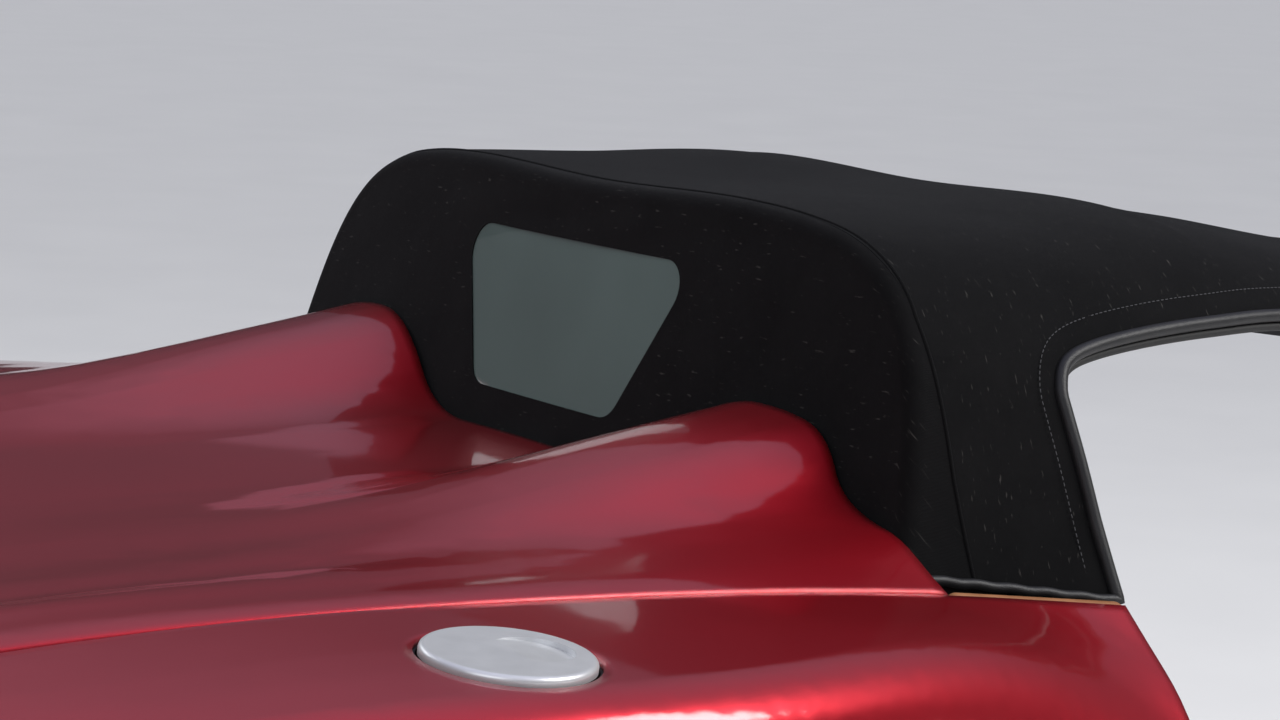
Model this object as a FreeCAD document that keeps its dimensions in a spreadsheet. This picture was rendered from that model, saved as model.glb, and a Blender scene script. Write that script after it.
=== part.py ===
import FreeCAD, Part
import math
import os
import Sketcher
from FreeCAD import Placement, Rotation, Vector

# Convertible car, rear body section with folding soft top. Millimetres, +X forward, +Y left, +Z up.
# The origin is the centre of the bolt pattern on the front face of the bulkhead, in the door shut plane.

OUT = "parts"

doc = FreeCAD.newDocument("rear_body_section")
sheet = doc.addObject("Spreadsheet::Sheet", "Sizes")

# Driving dimensions: alias, value
SIZES = (
    # Walls, gaps and the reach of cutting tools
    ("skin_wall", 4), ("panel_gap", 4), ("seat_gap", 0.3),
    ("tool_reach", 500), ("tool_half_width", 900), ("tool_low", 200),
    # Waist line and deck lid
    ("waist_up", 347), ("valley_up", 410), ("hump_in", 327),
    ("lid_half_width", 712), ("lid_front", -220), ("lid_front_gap", 5), ("lid_rear", -1290),
    ("rib_depth", 26), ("rib_width", 40), ("rib_inset", 16), ("rib_edge_in", 62),
    ("rib_second_back", 560), ("rib_third_back", 860), ("rib_front_gap", 14),
    ("lip_drop", 27), ("lip_side_rise", 5), ("lip_corner", 22), ("lip_kick", 2), ("lip_roll", 20),
    ("lip_tuck", 1), ("lip_low_up", 331),
    # Lid hinge
    ("hinge_back", 1340), ("hinge_up", 80), ("hinge_gap", 4), ("hinge_foot_length", 44),
    ("hinge_foot_width", 52), ("hinge_stem_radius", 16), ("hinge_stem_rise", 20),
    ("lid_arm_out", 430), ("lid_arm_wall", 12), ("lid_arm_reach", 262), ("lid_arm_height", 34),
    ("lid_arm_eye", 17), ("lid_arm_top_drop", 30),
    # Rear wings, wheel arches and door posts
    ("sill_up", -330), ("side_up", 152), ("wing_clearance", 0.6),
    ("axle_back", 640), ("axle_up", -230), ("arch_radius", 360), ("arch_wall", 3), ("arch_margin", 12),
    ("arch_inner_in", 112), ("arch_reach", 400), ("arch_foot_rise", 52),
    ("post_wall", 4), ("post_width", 290), ("post_drop", 30), ("post_foot", 3),
    # Filler: bowl, neck and flap
    ("filler_back", 781), ("filler_from_lid", 154), ("filler_up", 398.2),
    ("filler_tilt", 4.9), ("filler_pitch", 2.4),
    ("filler_radius", 72), ("filler_hole_radius", 76), ("filler_depth", 62), ("filler_wall", 2),
    ("neck_radius", 27), ("neck_ahead", 18), ("grip_length", 44), ("grip_width", 7), ("grip_height", 9),
    ("pocket_half", 18), ("pocket_down", 7.5),
    ("flap_proud", 6), ("flap_wall", 9), ("flap_rim_radius", 5), ("flap_hinge_back", 100),
    ("flap_hinge_down", 15.5), ("flap_pin_radius", 2.5), ("flap_eye_radius", 5),
    ("goose_back", 62), ("goose_bar", 8), ("goose_band", 16), ("goose_floor_gap", 2),
    ("scoop_radius", 34), ("scoop_ahead", 22), ("scoop_depth", 3.4), ("scoop_slope", 5.5),
    # Bulkhead and its bolt pattern
    ("bulkhead_beyond", 20), ("bulkhead_low", -330), ("bulkhead_high", 240), ("bulkhead_wall", 12),
    ("tunnel_half_width", 150), ("tunnel_top", -190), ("tunnel_slope", 25),
    ("bolt_span_out", 800), ("bolt_span_up", 300), ("bolt_hole_radius", 6.5),
    # Rails, floor and hood well
    ("rail_in", 130), ("rail_width", 60), ("rail_height", 80), ("rail_wall", 4), ("rail_top", -24),
    ("floor_wall", 3), ("beam_inset", 9.8), ("beam_depth", 40),
    ("well_floor_up", 150), ("well_back", 655), ("well_half_width", 618), ("well_wall", 3),
    ("well_top_up", 330), ("well_front_lip", 10),
    # Tail and lamps
    ("tail_back", 1385), ("tail_bulge", 8), ("tail_top_up", 326), ("tail_top_lean", 2),
    ("tail_foot_rise", 75),
    ("lamp_in", 152), ("lamp_up", 232), ("lamp_radius", 58), ("lamp_depth", 46), ("lamp_rim", 5),
    # Folding frame of the soft top
    ("pivot_back", 150), ("pivot_up", 330), ("elbow_back", 130), ("elbow_up", 583),
    ("knee_ahead", 240), ("knee_up", 606), ("knee_drop", 12), ("header_ahead", 800), ("header_rail_up", 522),
    ("link_wall", 10), ("link_height", 22), ("eye_radius", 15), ("knee_eye_radius", 10), ("link_gap", 2),
    ("pin_radius", 6), ("knee_pin_radius", 4.5), ("pin_slack", 0.05),
    ("arm_plane_out", 537), ("link_side_gap", 5),
    ("bracket_length", 90), ("bracket_foot", 8), ("bracket_wall", 14), ("bracket_radius", 22),
    ("bracket_rise", 26),
    ("bow_radius", 8), ("bow_clearance", 1.5), ("bow_ear_rise", 8), ("bow_ear_radius", 10),
    ("rear_bow_back", 150), ("rear_bow_end_in", 7.4), ("mid_bow_ahead", 222), ("mid_bow_end_up", 605.2),
    ("base_bow_back", 238), ("base_bow_up", 350), ("header_width", 44), ("header_wall", 16),
    # Fabric, rear panel and rear window
    ("cover_wall", 5), ("cover_split_ahead", 20),
    ("panel_lean", 13), ("panel_foot_back", 235), ("panel_bulge_radius", 5850),
    ("glass_wall", 3), ("glass_inset", 1), ("glass_low_up", 450), ("glass_high_up", 622),
    ("glass_low_out", 140), ("glass_high_out", 230), ("glass_corner_radius", 30), ("glass_tool_back", 320),
    ("glass_tool_length", 200),
    # Leather rolls beside the soft top
    ("trim_radius", 11), ("trim_gap", 1.2), ("trim_proud", 1),
)

# Sizes that follow from others: alias, formula
DERIVED = (
    # Set in from the edge of the lid, or out from its gap
    ("hump_out", "=lid_half_width - hump_in"),
    ("rib_half_span", "=lid_half_width - rib_edge_in"),
    ("arch_inner_out", "=lid_half_width - arch_inner_in"),
    ("beam_half_width", "=arch_inner_out"),
    ("bulkhead_half_width", "=arch_inner_out + bulkhead_beyond"),
    ("rail_out", "=arch_inner_out - rail_in"),
    ("lamp_out", "=lid_half_width - lamp_in"),
    ("filler_out", "=lid_half_width + panel_gap + filler_from_lid"),
    # Planes of the folding frame, stepped inward from the main arms
    ("front_plane_out", "=arm_plane_out - link_wall - link_side_gap"),
    ("mid_plane_out", "=front_plane_out - link_wall - link_side_gap"),
)
for row, (alias, value) in enumerate(SIZES + DERIVED, start=1):
    sheet.set("A%d" % row, alias)
    sheet.set("B%d" % row, str(value))
    sheet.setAlias("B%d" % row, alias)
doc.recompute()


def size(alias):
    """A driving dimension read from the sheet."""
    return float(getattr(sheet, alias))


def expr(text):
    """An expression with its sheet aliases qualified."""
    for alias in sorted((name for name, _ in SIZES + DERIVED), key=len, reverse=True):
        text = text.replace("#" + alias, "Sizes." + alias)
    return text


# Section curves: nodes are (out, up, heading in degrees), 0 runs outward and -90 runs down
def half_arc(place, start, heading, end):
    """The arc that leaves start along heading and reaches end."""
    chord = math.atan2(end[1] - start[1], end[0] - start[0])
    turn = (chord - heading + math.pi) % (2 * math.pi) - math.pi
    length = math.hypot(end[0] - start[0], end[1] - start[1])
    bulge = length / 2 * math.tan(turn / 2)
    if abs(bulge) < 1e-4:
        return Part.LineSegment(place(*start), place(*end)).toShape()
    middle = ((start[0] + end[0]) / 2 + math.sin(chord) * bulge,
              (start[1] + end[1]) / 2 - math.cos(chord) * bulge)
    return Part.Arc(place(*start), place(*middle), place(*end)).toShape()


def biarc(place, first, last):
    """Two tangent arcs between two nodes."""
    a, b = math.radians(first[2]), math.radians(last[2])
    sum_x, sum_y = math.cos(a) + math.cos(b), math.sin(a) + math.sin(b)
    run_x, run_y = last[0] - first[0], last[1] - first[1]
    along = run_x * sum_x + run_y * sum_y
    apart = 2 * (1 - math.cos(a - b))
    square = run_x ** 2 + run_y ** 2
    if apart < 1e-6:
        reach = square / (2 * along)
    else:
        reach = (-along + math.sqrt(along ** 2 + apart * square)) / apart
    join = ((first[0] + last[0] + reach * (math.cos(a) - math.cos(b))) / 2,
            (first[1] + last[1] + reach * (math.sin(a) - math.sin(b))) / 2)
    join_heading = 2 * math.atan2(join[1] - first[1], join[0] - first[0]) - a
    return [half_arc(place, first[:2], a, join), half_arc(place, join, join_heading, last[:2])]


def chain(place, nodes):
    """Tangent arcs through the nodes in turn."""
    edges = []
    for first, last in zip(nodes, nodes[1:]):
        edges += biarc(place, first, last)
    return edges


def inset(nodes, depth):
    """The nodes moved inward, to the right of their heading."""
    moved = []
    for out, up, heading in nodes:
        turn = math.radians(heading)
        moved.append((out + depth * math.sin(turn), up - depth * math.cos(turn), heading))
    return moved


def mirrored(nodes):
    """Nodes from the centre outward, completed to run from one side to the other."""
    return [(-out, up, -heading) for out, up, heading in reversed(nodes[1:])] + list(nodes)


def wall_section(place, nodes, depth, wall):
    """Closed wire of a wall of a given thickness that lies depth inside the nodes."""
    outer = inset(nodes, depth)
    inner = [(out, up, heading + 180) for out, up, heading in reversed(inset(nodes, depth + wall))]
    edges = chain(place, outer)
    edges.append(Part.LineSegment(place(*outer[-1][:2]), place(*inner[0][:2])).toShape())
    edges += chain(place, inner)
    edges.append(Part.LineSegment(place(*inner[-1][:2]), place(*outer[0][:2])).toShape())
    return Part.Wire(edges)


def across(along):
    """Sections that stand across the car at one place along it."""
    return lambda out, up: Vector(along, out, up)


def lengthwise(out):
    """Sections that run along the car, from front to rear, at one place out."""
    return lambda back, up: Vector(-back, out, up)


def solid(label, shape):
    """A document object for a shape made by the functions above."""
    feature = doc.addObject("Part::Feature", label)
    feature.Shape = shape
    feature.Placement = Placement()
    return feature


def bound(kind, label, sizes, base=(0, 0, 0), axis=None, angle=0):
    """A Part primitive whose sizes and place are expressions of the sheet."""
    item = doc.addObject("Part::" + kind, label)
    if axis:
        item.Placement = Placement(Vector(), Rotation(Vector(*axis), angle))
    for name, text in sizes.items():
        item.setExpression(name, expr(str(text)))
    for name, text in zip("xyz", base):
        item.setExpression("Placement.Base." + name, expr(str(text)))
    return item


def joined(label, *items):
    """Several solids made one."""
    fuse = doc.addObject("Part::MultiFuse", label)
    fuse.Shapes = list(items)
    return fuse


def cut(label, base, *tools):
    """A solid with tools taken out of it."""
    tool = tools[0] if len(tools) == 1 else joined(label + "_tools", *tools)
    item = doc.addObject("Part::Cut", label)
    item.Base = base
    item.Tool = tool
    return item


NODES = []


def node(item, label):
    """Keep an object as a sub-part under its own label."""
    item.Label = label
    NODES.append(item)
    return item


SIDES = (("right", -1), ("left", 1))

# Rear wing stations, from the door shut plane round the rear corner.
# along, edge set in, fan heading (0 outward, 90 rearward), edge up above the waist, edge slope,
# shoulder out from the edge, shoulder drop below it, shoulder slope,
# reach of the side beyond the edge, side up above the side line, foot up above the sill
WING_STATIONS = (
    (0, 14, 0, 0, -40, 113, 108, -58, 167, -12, 0),
    (-118, 12, 0, 15, -21, 94, 46, -35, 174, -2, 0),
    (-236, 9, 0, 29, -9, 105, 21, -18, 184, 10, 0),
    (-450, 4, 0, 47, -4, 165, 16, -9, 226, 32, 10),
    (-737, 0, 0, 59, -2.5, 225, 17, -7.5, 271, 46, 30),
    (-1000, 0, 0, 60, -3, 222, 18, -8, 269, 40, 42),
    (-1190, 0, 0, 50, -6, 178, 22, -12, 228, 22, 60),
    (-1290, 0, 38, 41, -12, 95, 20, -26, 140, 8, 72),
    (-1350, 0, 90, 36, -24, 22, 15, -60, 35, 0, 75),
)
FOOT_TUCK = 34
FOOT_HEADING = -106
WING_TOOL_REACH = 150


def wing_nodes(side, station):
    """Where one wing section stands, and its nodes from the edge over the side to the foot."""
    (along, edge_in, fan, edge_up, edge_slope, shoulder_reach, shoulder_drop, shoulder_slope,
     side_reach, side_rise, foot_rise) = station
    edge_out = size("lid_half_width") + size("panel_gap") - edge_in
    turn = math.radians(fan)
    nodes = [
        (0, size("waist_up") + edge_up, edge_slope),
        (shoulder_reach, size("waist_up") + edge_up - shoulder_drop, shoulder_slope),
        (side_reach, size("side_up") + side_rise, -90),
        (side_reach - FOOT_TUCK, size("sill_up") + foot_rise, FOOT_HEADING),
    ]

    def place(out, up):
        return Vector(along - out * math.sin(turn), side * (edge_out + out * math.cos(turn)), up)

    return place, nodes


def filler_placement():
    """The place of the filler on the right wing, its axis square to the skin."""
    turn = Rotation(Vector(0, 1, 0), size("filler_pitch")) * Rotation(Vector(1, 0, 0), size("filler_tilt"))
    return Placement(Vector(-size("filler_back"), -size("filler_out"), size("filler_up")), turn)


def rear_wings():
    """Wing skins with the wheel arch cut out, and the filler hole in the right one."""
    for name, side in SIDES:
        sections = [wall_section(*wing_nodes(side, station), 0, size("skin_wall"))
                    for station in WING_STATIONS]
        skin = solid("wing_skin_" + name, Part.makeLoft(sections, True, False))
        arch = bound("Cylinder", "arch_cut_" + name, {"Radius": "#arch_radius", "Height": "#arch_reach"},
                     ("-#axle_back", "%d * #arch_inner_out + %d * #arch_reach" % (side, side > 0), "#axle_up"),
                     (1, 0, 0), 90)
        tools = [arch]
        if side < 0:
            depth = size("filler_depth")
            punch = Part.makeCylinder(size("filler_hole_radius"), depth, Vector(0, 0, -depth / 2))
            hole = solid("filler_cut", punch)
            hole.Placement = filler_placement()
            tools.append(hole)
        node(cut("rear_wing_" + name, skin, *tools), "rear_wing_" + name)


# Deck lid stations. along, valley above the front valley, crest above the valley, flank half width,
# inner slope, outer slope, outer foot up, shoulder set in, shoulder up, shoulder slope, edge set in,
# edge up, edge slope
LID_STATIONS = (
    (-190, 1, 98, 132, 42, 58, 464, 116, 419, -10, 10, 24, -26),
    (-270, 0, 84, 133, 35, 46, 455, 112, 417, -9, 8, 32, -24),
    (-400, -2, 62, 135, 24, 30, 442, 106, 415, -7, 5, 43, -22),
    (-600, -8, 28, 138, 10, 10, 422, 94, 413, -5, 1, 54, -20),
    (-850, -14, 8, 140, 3, 2, 410, 84, 414, -4, 0, 60, -20),
    (-1100, -19, 3, 140, 1, 0.5, 399, 82, 411, -4, 0, 55, -20),
    (-1290, -27, 2, 140, 0.5, -0.5, 388, 82, 398, -4, 0, 41, -20),
)

# Height of a fairing's inner flank node, as a share of its crest
FLANK_SHARE = 0.42

# Places of the tail sections across the car, as shares of the lid's half width
TAIL_SHARES = (-1, -0.55, 0, 0.55, 1)


def lid_nodes(station):
    """Half section of the deck lid, from the middle out to its edge."""
    (along, valley_rise, crest_rise, flank, inner_slope, outer_slope, foot_up, shoulder_in, shoulder_up,
     shoulder_slope, edge_in, edge_up, edge_slope) = station
    valley = size("valley_up") + valley_rise
    crest = size("hump_out")
    return [
        (0, valley, 0),
        (crest - flank, valley + crest_rise * FLANK_SHARE, inner_slope),
        (crest, valley + crest_rise, 0),
        (crest + flank, foot_up, -outer_slope),
        (size("lid_half_width") - shoulder_in, shoulder_up, shoulder_slope),
        (size("lid_half_width") - edge_in, size("waist_up") + edge_up, edge_slope),
    ]


def deck_lid():
    """Twin fairing deck lid: skin, ribbed frame below it, tail lip and hinge arms."""
    wall = size("skin_wall")
    skin = [wall_section(across(station[0]), mirrored(lid_nodes(station)), 0, wall)
            for station in LID_STATIONS]
    front = panel_cylinder(size("panel_bulge_radius") + size("lid_front_gap"))
    node(solid("deck_lid_skin", Part.makeLoft(skin, True, False).cut(front)), "deck_lid")

    depth = wall + size("seat_gap")
    layer = [wall_section(across(station[0]), mirrored(lid_nodes(station)), depth, size("rib_depth"))
             for station in LID_STATIONS]
    front = panel_cylinder(size("panel_bulge_radius") + size("lid_front_gap") + size("rib_front_gap"))
    body = solid("lid_frame_layer", Part.makeLoft(layer, True, False).cut(front))
    width, half_span = size("rib_width"), size("rib_half_span")
    rear = size("lid_rear") + size("rib_inset")
    arm_rib = size("lid_arm_out") - width / 2
    low, height = size("tool_low"), size("tool_reach")
    ribs = [Part.makeBox(width, 2 * half_span, height, Vector(along, -half_span, low))
            for along in (size("lid_front") - width, -size("rib_second_back"), -size("rib_third_back"), rear)]
    ribs += [Part.makeBox(size("lid_front") - rear, width, height, Vector(rear, out, low))
             for out in (-half_span, -arm_rib - width, -width / 2, arm_rib, half_span - width)]
    grid = solid("lid_frame_grid", ribs[0].multiFuse(ribs[1:]).removeSplitter())
    frame = doc.addObject("Part::Common", "lid_frame")
    frame.Base = body
    frame.Tool = grid
    node(frame, "lid_frame")

    lip = []
    back = -size("lid_rear") + size("seat_gap")
    for share in TAIL_SHARES:
        rear = size("tail_back") + size("tail_bulge") * (1 - abs(share))
        top = size("valley_up") - size("lip_drop") + size("lip_side_rise") * abs(share)
        nodes = [
            (back, top, 1),
            (rear - size("lip_corner"), top + size("lip_kick"), 0),
            (rear - size("lip_tuck"), top - size("lip_roll"), -88),
            (rear - size("lip_tuck"), size("lip_low_up"), -91),
        ]
        lip.append(wall_section(lengthwise(share * size("lid_half_width")), nodes, 0, wall))
    node(solid("tail_lip_skin", Part.makeLoft(lip, True, False)), "tail_lip")


# How far a full rounding stays short of half the height it rounds
FILLET_SPARE = 0.1


def lid_arms():
    """Goose neck arms of the lid, from the hinge at the tail up to the underside of its frame."""
    depth = size("skin_wall") + 2 * size("seat_gap")
    space = [wall_section(across(station[0]), mirrored(lid_nodes(station)), 0, depth + size("rib_depth"))
             for station in LID_STATIONS]
    under_lid = solid("lid_arm_trim", Part.makeLoft(space, True, False))
    for name, side in SIDES:
        arm = doc.addObject("PartDesign::Body", "lid_arm_body_" + name)
        wall = size("lid_arm_wall")
        corners = (
            ("-#hinge_back", "#hinge_up - #lid_arm_eye"),
            ("-#hinge_back + #lid_arm_reach + #lid_arm_height", "#hinge_up - #lid_arm_eye"),
            ("-#hinge_back + #lid_arm_reach + #lid_arm_height", "#valley_up - #lid_arm_top_drop"),
            ("-#hinge_back + #lid_arm_reach", "#valley_up - #lid_arm_top_drop"),
            ("-#hinge_back + #lid_arm_reach", "#hinge_up + #lid_arm_eye"),
            ("-#hinge_back", "#hinge_up + #lid_arm_eye"),
        )
        plate = polygon_pad(arm, name, corners, "#lid_arm_wall")
        doc.recompute()
        rear = -size("hinge_back")
        corner_edges = [i for i, edge in enumerate(plate.Shape.Edges, start=1)
                        if abs(edge.Length - wall) < 1e-6 and abs(edge.CenterOfMass.x - rear) < 1e-6]
        rounding = arm.newObject("PartDesign::Fillet", "lid_arm_eye_" + name)
        rounding.Base = (plate, ["Edge%d" % i for i in corner_edges])
        rounding.setExpression("Radius", expr("#lid_arm_eye - %g" % FILLET_SPARE))
        place_out(arm, "%d * #lid_arm_out + #lid_arm_wall / 2" % side)
        bore = bound("Cylinder", "lid_arm_bore_" + name,
                     {"Radius": "#pin_radius + #pin_slack", "Height": "#lid_arm_wall + 2"},
                     ("-#hinge_back", "%d * #lid_arm_out + #lid_arm_wall / 2 + 1" % side, "#hinge_up"),
                     (1, 0, 0), 90)
        node(cut("lid_arm_" + name, arm, bore, under_lid), "lid_arm_" + name)


def polygon_pad(body, name, corners, length, role="XZ_Plane"):
    """A pad from a closed polygon, by default drawn in the side view, x along the car and z up."""
    sketch = body.newObject("Sketcher::SketchObject", body.Name + "_outline")
    plane = [item for item in body.Origin.OriginFeatures if item.Role == role][0]
    sketch.AttachmentSupport = [(plane, "")]
    sketch.MapMode = "FlatFace"
    points = [[float(sheet.evalExpression(expr(text))) for text in corner] for corner in corners]
    count = len(points)
    for i, point in enumerate(points):
        after = points[(i + 1) % count]
        sketch.addGeometry(Part.LineSegment(Vector(*point, 0), Vector(*after, 0)))
    for i in range(count):
        sketch.addConstraint(Sketcher.Constraint("Coincident", i, 2, (i + 1) % count, 1))
    for i, (x, y) in enumerate(corners):
        for kind, text, value in (("DistanceX", x, points[i][0]), ("DistanceY", y, points[i][1])):
            index = sketch.addConstraint(Sketcher.Constraint(kind, -1, 1, i, 1, value))
            sketch.setExpression("Constraints[%d]" % index, expr(text))
    pad = body.newObject("PartDesign::Pad", body.Name + "_plate")
    pad.Profile = sketch
    pad.setExpression("Length", expr(length))
    return pad


def place_out(item, text):
    """Move a side-view body out to its plane; its plate grows toward the right."""
    item.setExpression("Placement.Base.y", expr(text))


def wing_tool(side):
    """A thick shell from outside a wing to just inside it, for pieces that end on its inner face."""
    wall = WING_TOOL_REACH + size("skin_wall") + size("wing_clearance")
    sections = [wall_section(*wing_nodes(side, station), -WING_TOOL_REACH, wall) for station in WING_STATIONS]
    return Part.makeLoft(sections, True, False)


def wheelhouses(wing_tools):
    """Inner wheel arches: a barrel behind each arch opening, closed on its inner side."""
    for name, side in SIDES:
        outer = bound("Cylinder", "barrel_outer_" + name,
                      {"Radius": "#arch_radius + #arch_margin + #arch_wall", "Height": "#arch_reach"},
                      ("-#axle_back", "%d * (#arch_inner_out - #arch_wall) + %d * #arch_reach" % (side, side > 0),
                       "#axle_up"), (1, 0, 0), 90)
        inner = bound("Cylinder", "barrel_inner_" + name,
                      {"Radius": "#arch_radius + #arch_margin", "Height": "#arch_reach"},
                      ("-#axle_back", "%d * #arch_inner_out + %d * #arch_reach" % (side, side > 0), "#axle_up"),
                      (1, 0, 0), 90)
        below = bound("Box", "barrel_below_" + name,
                      {"Length": "2 * #tool_reach", "Width": "2 * #tool_reach", "Height": "#tool_reach"},
                      ("-#axle_back - #tool_reach", "%d * #lid_half_width - #tool_reach" % side,
                       "#sill_up + #arch_foot_rise - #tool_reach"))
        node(cut("wheelhouse_" + name, outer, inner, below, wing_tools[name]), "wheelhouse_" + name)


def door_posts(wing_tools):
    """Lock posts that close the body between bulkhead and wing at the door shut plane."""
    for name, side in SIDES:
        plate = bound("Box", "post_plate_" + name,
                      {"Length": "#post_wall", "Width": "#post_width",
                       "Height": "#waist_up - #post_drop - #sill_up - #post_foot"},
                      ("-#bulkhead_wall",
                       "%d * (#bulkhead_half_width + #seat_gap) - %d * #post_width" % (side, side < 0),
                       "#sill_up + #post_foot"))
        node(cut("door_post_" + name, plate, wing_tools[name]), "door_post_" + name)


def bulkhead():
    """Bulkhead plate with tunnel arch and the four bolt holes of the mount."""
    body = doc.addObject("PartDesign::Body", "bulkhead_body")
    outline = (
        ("-#bulkhead_half_width", "#bulkhead_low"), ("-#tunnel_half_width", "#bulkhead_low"),
        ("-#tunnel_half_width + #tunnel_slope", "#tunnel_top"),
        ("#tunnel_half_width - #tunnel_slope", "#tunnel_top"),
        ("#tunnel_half_width", "#bulkhead_low"), ("#bulkhead_half_width", "#bulkhead_low"),
        ("#bulkhead_half_width", "#bulkhead_high"), ("-#bulkhead_half_width", "#bulkhead_high"),
    )
    plate = polygon_pad(body, "bulkhead", outline, "#bulkhead_wall", "YZ_Plane")
    plate.Reversed = True
    doc.recompute()
    holes = body.newObject("Sketcher::SketchObject", "bolt_holes")
    plane = [item for item in body.Origin.OriginFeatures if item.Role == "YZ_Plane"][0]
    holes.AttachmentSupport = [(plane, "")]
    holes.MapMode = "FlatFace"
    half_out, half_up, radius = size("bolt_span_out") / 2, size("bolt_span_up") / 2, size("bolt_hole_radius")
    for i, (out, up) in enumerate(((-1, -1), (1, -1), (1, 1), (-1, 1))):
        holes.addGeometry(Part.Circle(Vector(out * half_out, up * half_up, 0), Vector(0, 0, 1), radius))
        for kind, sign, half, text in (("DistanceX", out, half_out, "#bolt_span_out"),
                                       ("DistanceY", up, half_up, "#bolt_span_up")):
            index = holes.addConstraint(Sketcher.Constraint(kind, -1, 1, i, 3, sign * half))
            holes.setExpression("Constraints[%d]" % index, expr("%d * %s / 2" % (sign, text)))
        index = holes.addConstraint(Sketcher.Constraint("Radius", i, radius))
        holes.setExpression("Constraints[%d]" % index, expr("#bolt_hole_radius"))
    before = plate.Shape.Volume
    pocket = body.newObject("PartDesign::Pocket", "bolt_hole_cuts")
    pocket.Profile = holes
    pocket.Type = 1
    doc.recompute()
    if not pocket.Shape.Volume < before:
        raise RuntimeError("the bolt holes cut nothing")
    node(body, "bulkhead")


def understructure():
    """Chassis rails, boot floor, rear beam and hood well."""
    for name, side in SIDES:
        outer = bound("Box", "rail_outer_" + name,
                      {"Length": "#tail_back - #beam_inset - #beam_depth - #bulkhead_wall - #seat_gap",
                       "Width": "#rail_width", "Height": "#rail_height"},
                      ("-(#tail_back - #beam_inset - #beam_depth)", "%d * #rail_out - #rail_width / 2" % side,
                       "#rail_top - #rail_height"))
        inner = bound("Box", "rail_inner_" + name,
                      {"Length": "#tail_back", "Width": "#rail_width - 2 * #rail_wall",
                       "Height": "#rail_height - 2 * #rail_wall"},
                      ("-#tail_back", "%d * #rail_out - #rail_width / 2 + #rail_wall" % side,
                       "#rail_top - #rail_height + #rail_wall"))
        node(cut("chassis_rail_" + name, outer, inner), "chassis_rail_" + name)
    floor = bound("Box", "floor_plate",
                  {"Length": "#tail_back - #beam_inset - #bulkhead_wall - #seat_gap",
                   "Width": "2 * (#arch_inner_out - #arch_wall - #seat_gap)", "Height": "#floor_wall"},
                  ("-(#tail_back - #beam_inset)", "-(#arch_inner_out - #arch_wall - #seat_gap)", "#rail_top"))
    node(floor, "boot_floor")
    beam = bound("Box", "rear_beam_box",
                 {"Length": "#beam_depth - #seat_gap", "Width": "2 * #beam_half_width",
                  "Height": "#rail_height"},
                 ("-(#tail_back - #beam_inset)", "-#beam_half_width", "#rail_top - #rail_height"))
    node(beam, "rear_beam")
    outer = bound("Box", "well_outer",
                  {"Length": "#well_back - #bulkhead_wall - #seat_gap", "Width": "2 * #well_half_width",
                   "Height": "#well_top_up - #well_floor_up + #well_wall"},
                  ("-#well_back", "-#well_half_width", "#well_floor_up - #well_wall"))
    inner = bound("Box", "well_inner",
                  {"Length": "#well_back - #bulkhead_wall - #seat_gap - 2 * #well_wall",
                   "Width": "2 * (#well_half_width - #well_wall)", "Height": "#tool_reach"},
                  ("-#well_back + #well_wall", "-#well_half_width + #well_wall", "#well_floor_up"))
    front = bound("Box", "well_front_cut",
                  {"Length": "#bulkhead_wall + #well_wall + #seat_gap + #well_front_lip",
                   "Width": "2 * (#well_half_width + #well_wall)", "Height": "#tool_reach"},
                  ("-#bulkhead_wall - #well_wall - #seat_gap - #well_front_lip",
                   "-#well_half_width - #well_wall", "#bulkhead_high"))
    node(cut("hood_well", outer, inner, front), "hood_well")


def tail():
    """Tail panel with its lamp holes, and the two round lamps."""
    wall = size("skin_wall")
    half = size("lid_half_width")
    sections = []
    for share in TAIL_SHARES:
        back = size("tail_back") + size("tail_bulge") * (1 - abs(share))
        nodes = [
            (back - size("tail_top_lean"), size("tail_top_up"), -90.5),
            (back, size("side_up"), -90),
            (back - FOOT_TUCK, size("sill_up") + size("tail_foot_rise"), FOOT_HEADING),
        ]
        sections.append(wall_section(lengthwise(share * half), nodes, 0, wall))
    skin = solid("tail_skin", Part.makeLoft(sections, True, False))
    holes = []
    for name, side in SIDES:
        at = ("-#tail_back - #tail_bulge", "%d * #lamp_out" % side, "#lamp_up")
        holes.append(bound("Cylinder", "lamp_hole_" + name,
                           {"Radius": "#lamp_radius + #seat_gap", "Height": "#lamp_depth"},
                           at, (0, 1, 0), 90))
        body = bound("Cylinder", "lamp_body_" + name, {"Radius": "#lamp_radius", "Height": "#lamp_depth"},
                     at, (0, 1, 0), 90)
        rim = bound("Torus", "lamp_rim_" + name,
                    {"Radius1": "#lamp_radius - #lamp_rim", "Radius2": "#lamp_rim"}, at, (0, 1, 0), 90)
        node(joined("lamp_" + name, body, rim), "tail_lamp_" + name)
    node(cut("tail_panel", skin, *holes), "tail_panel")


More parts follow.
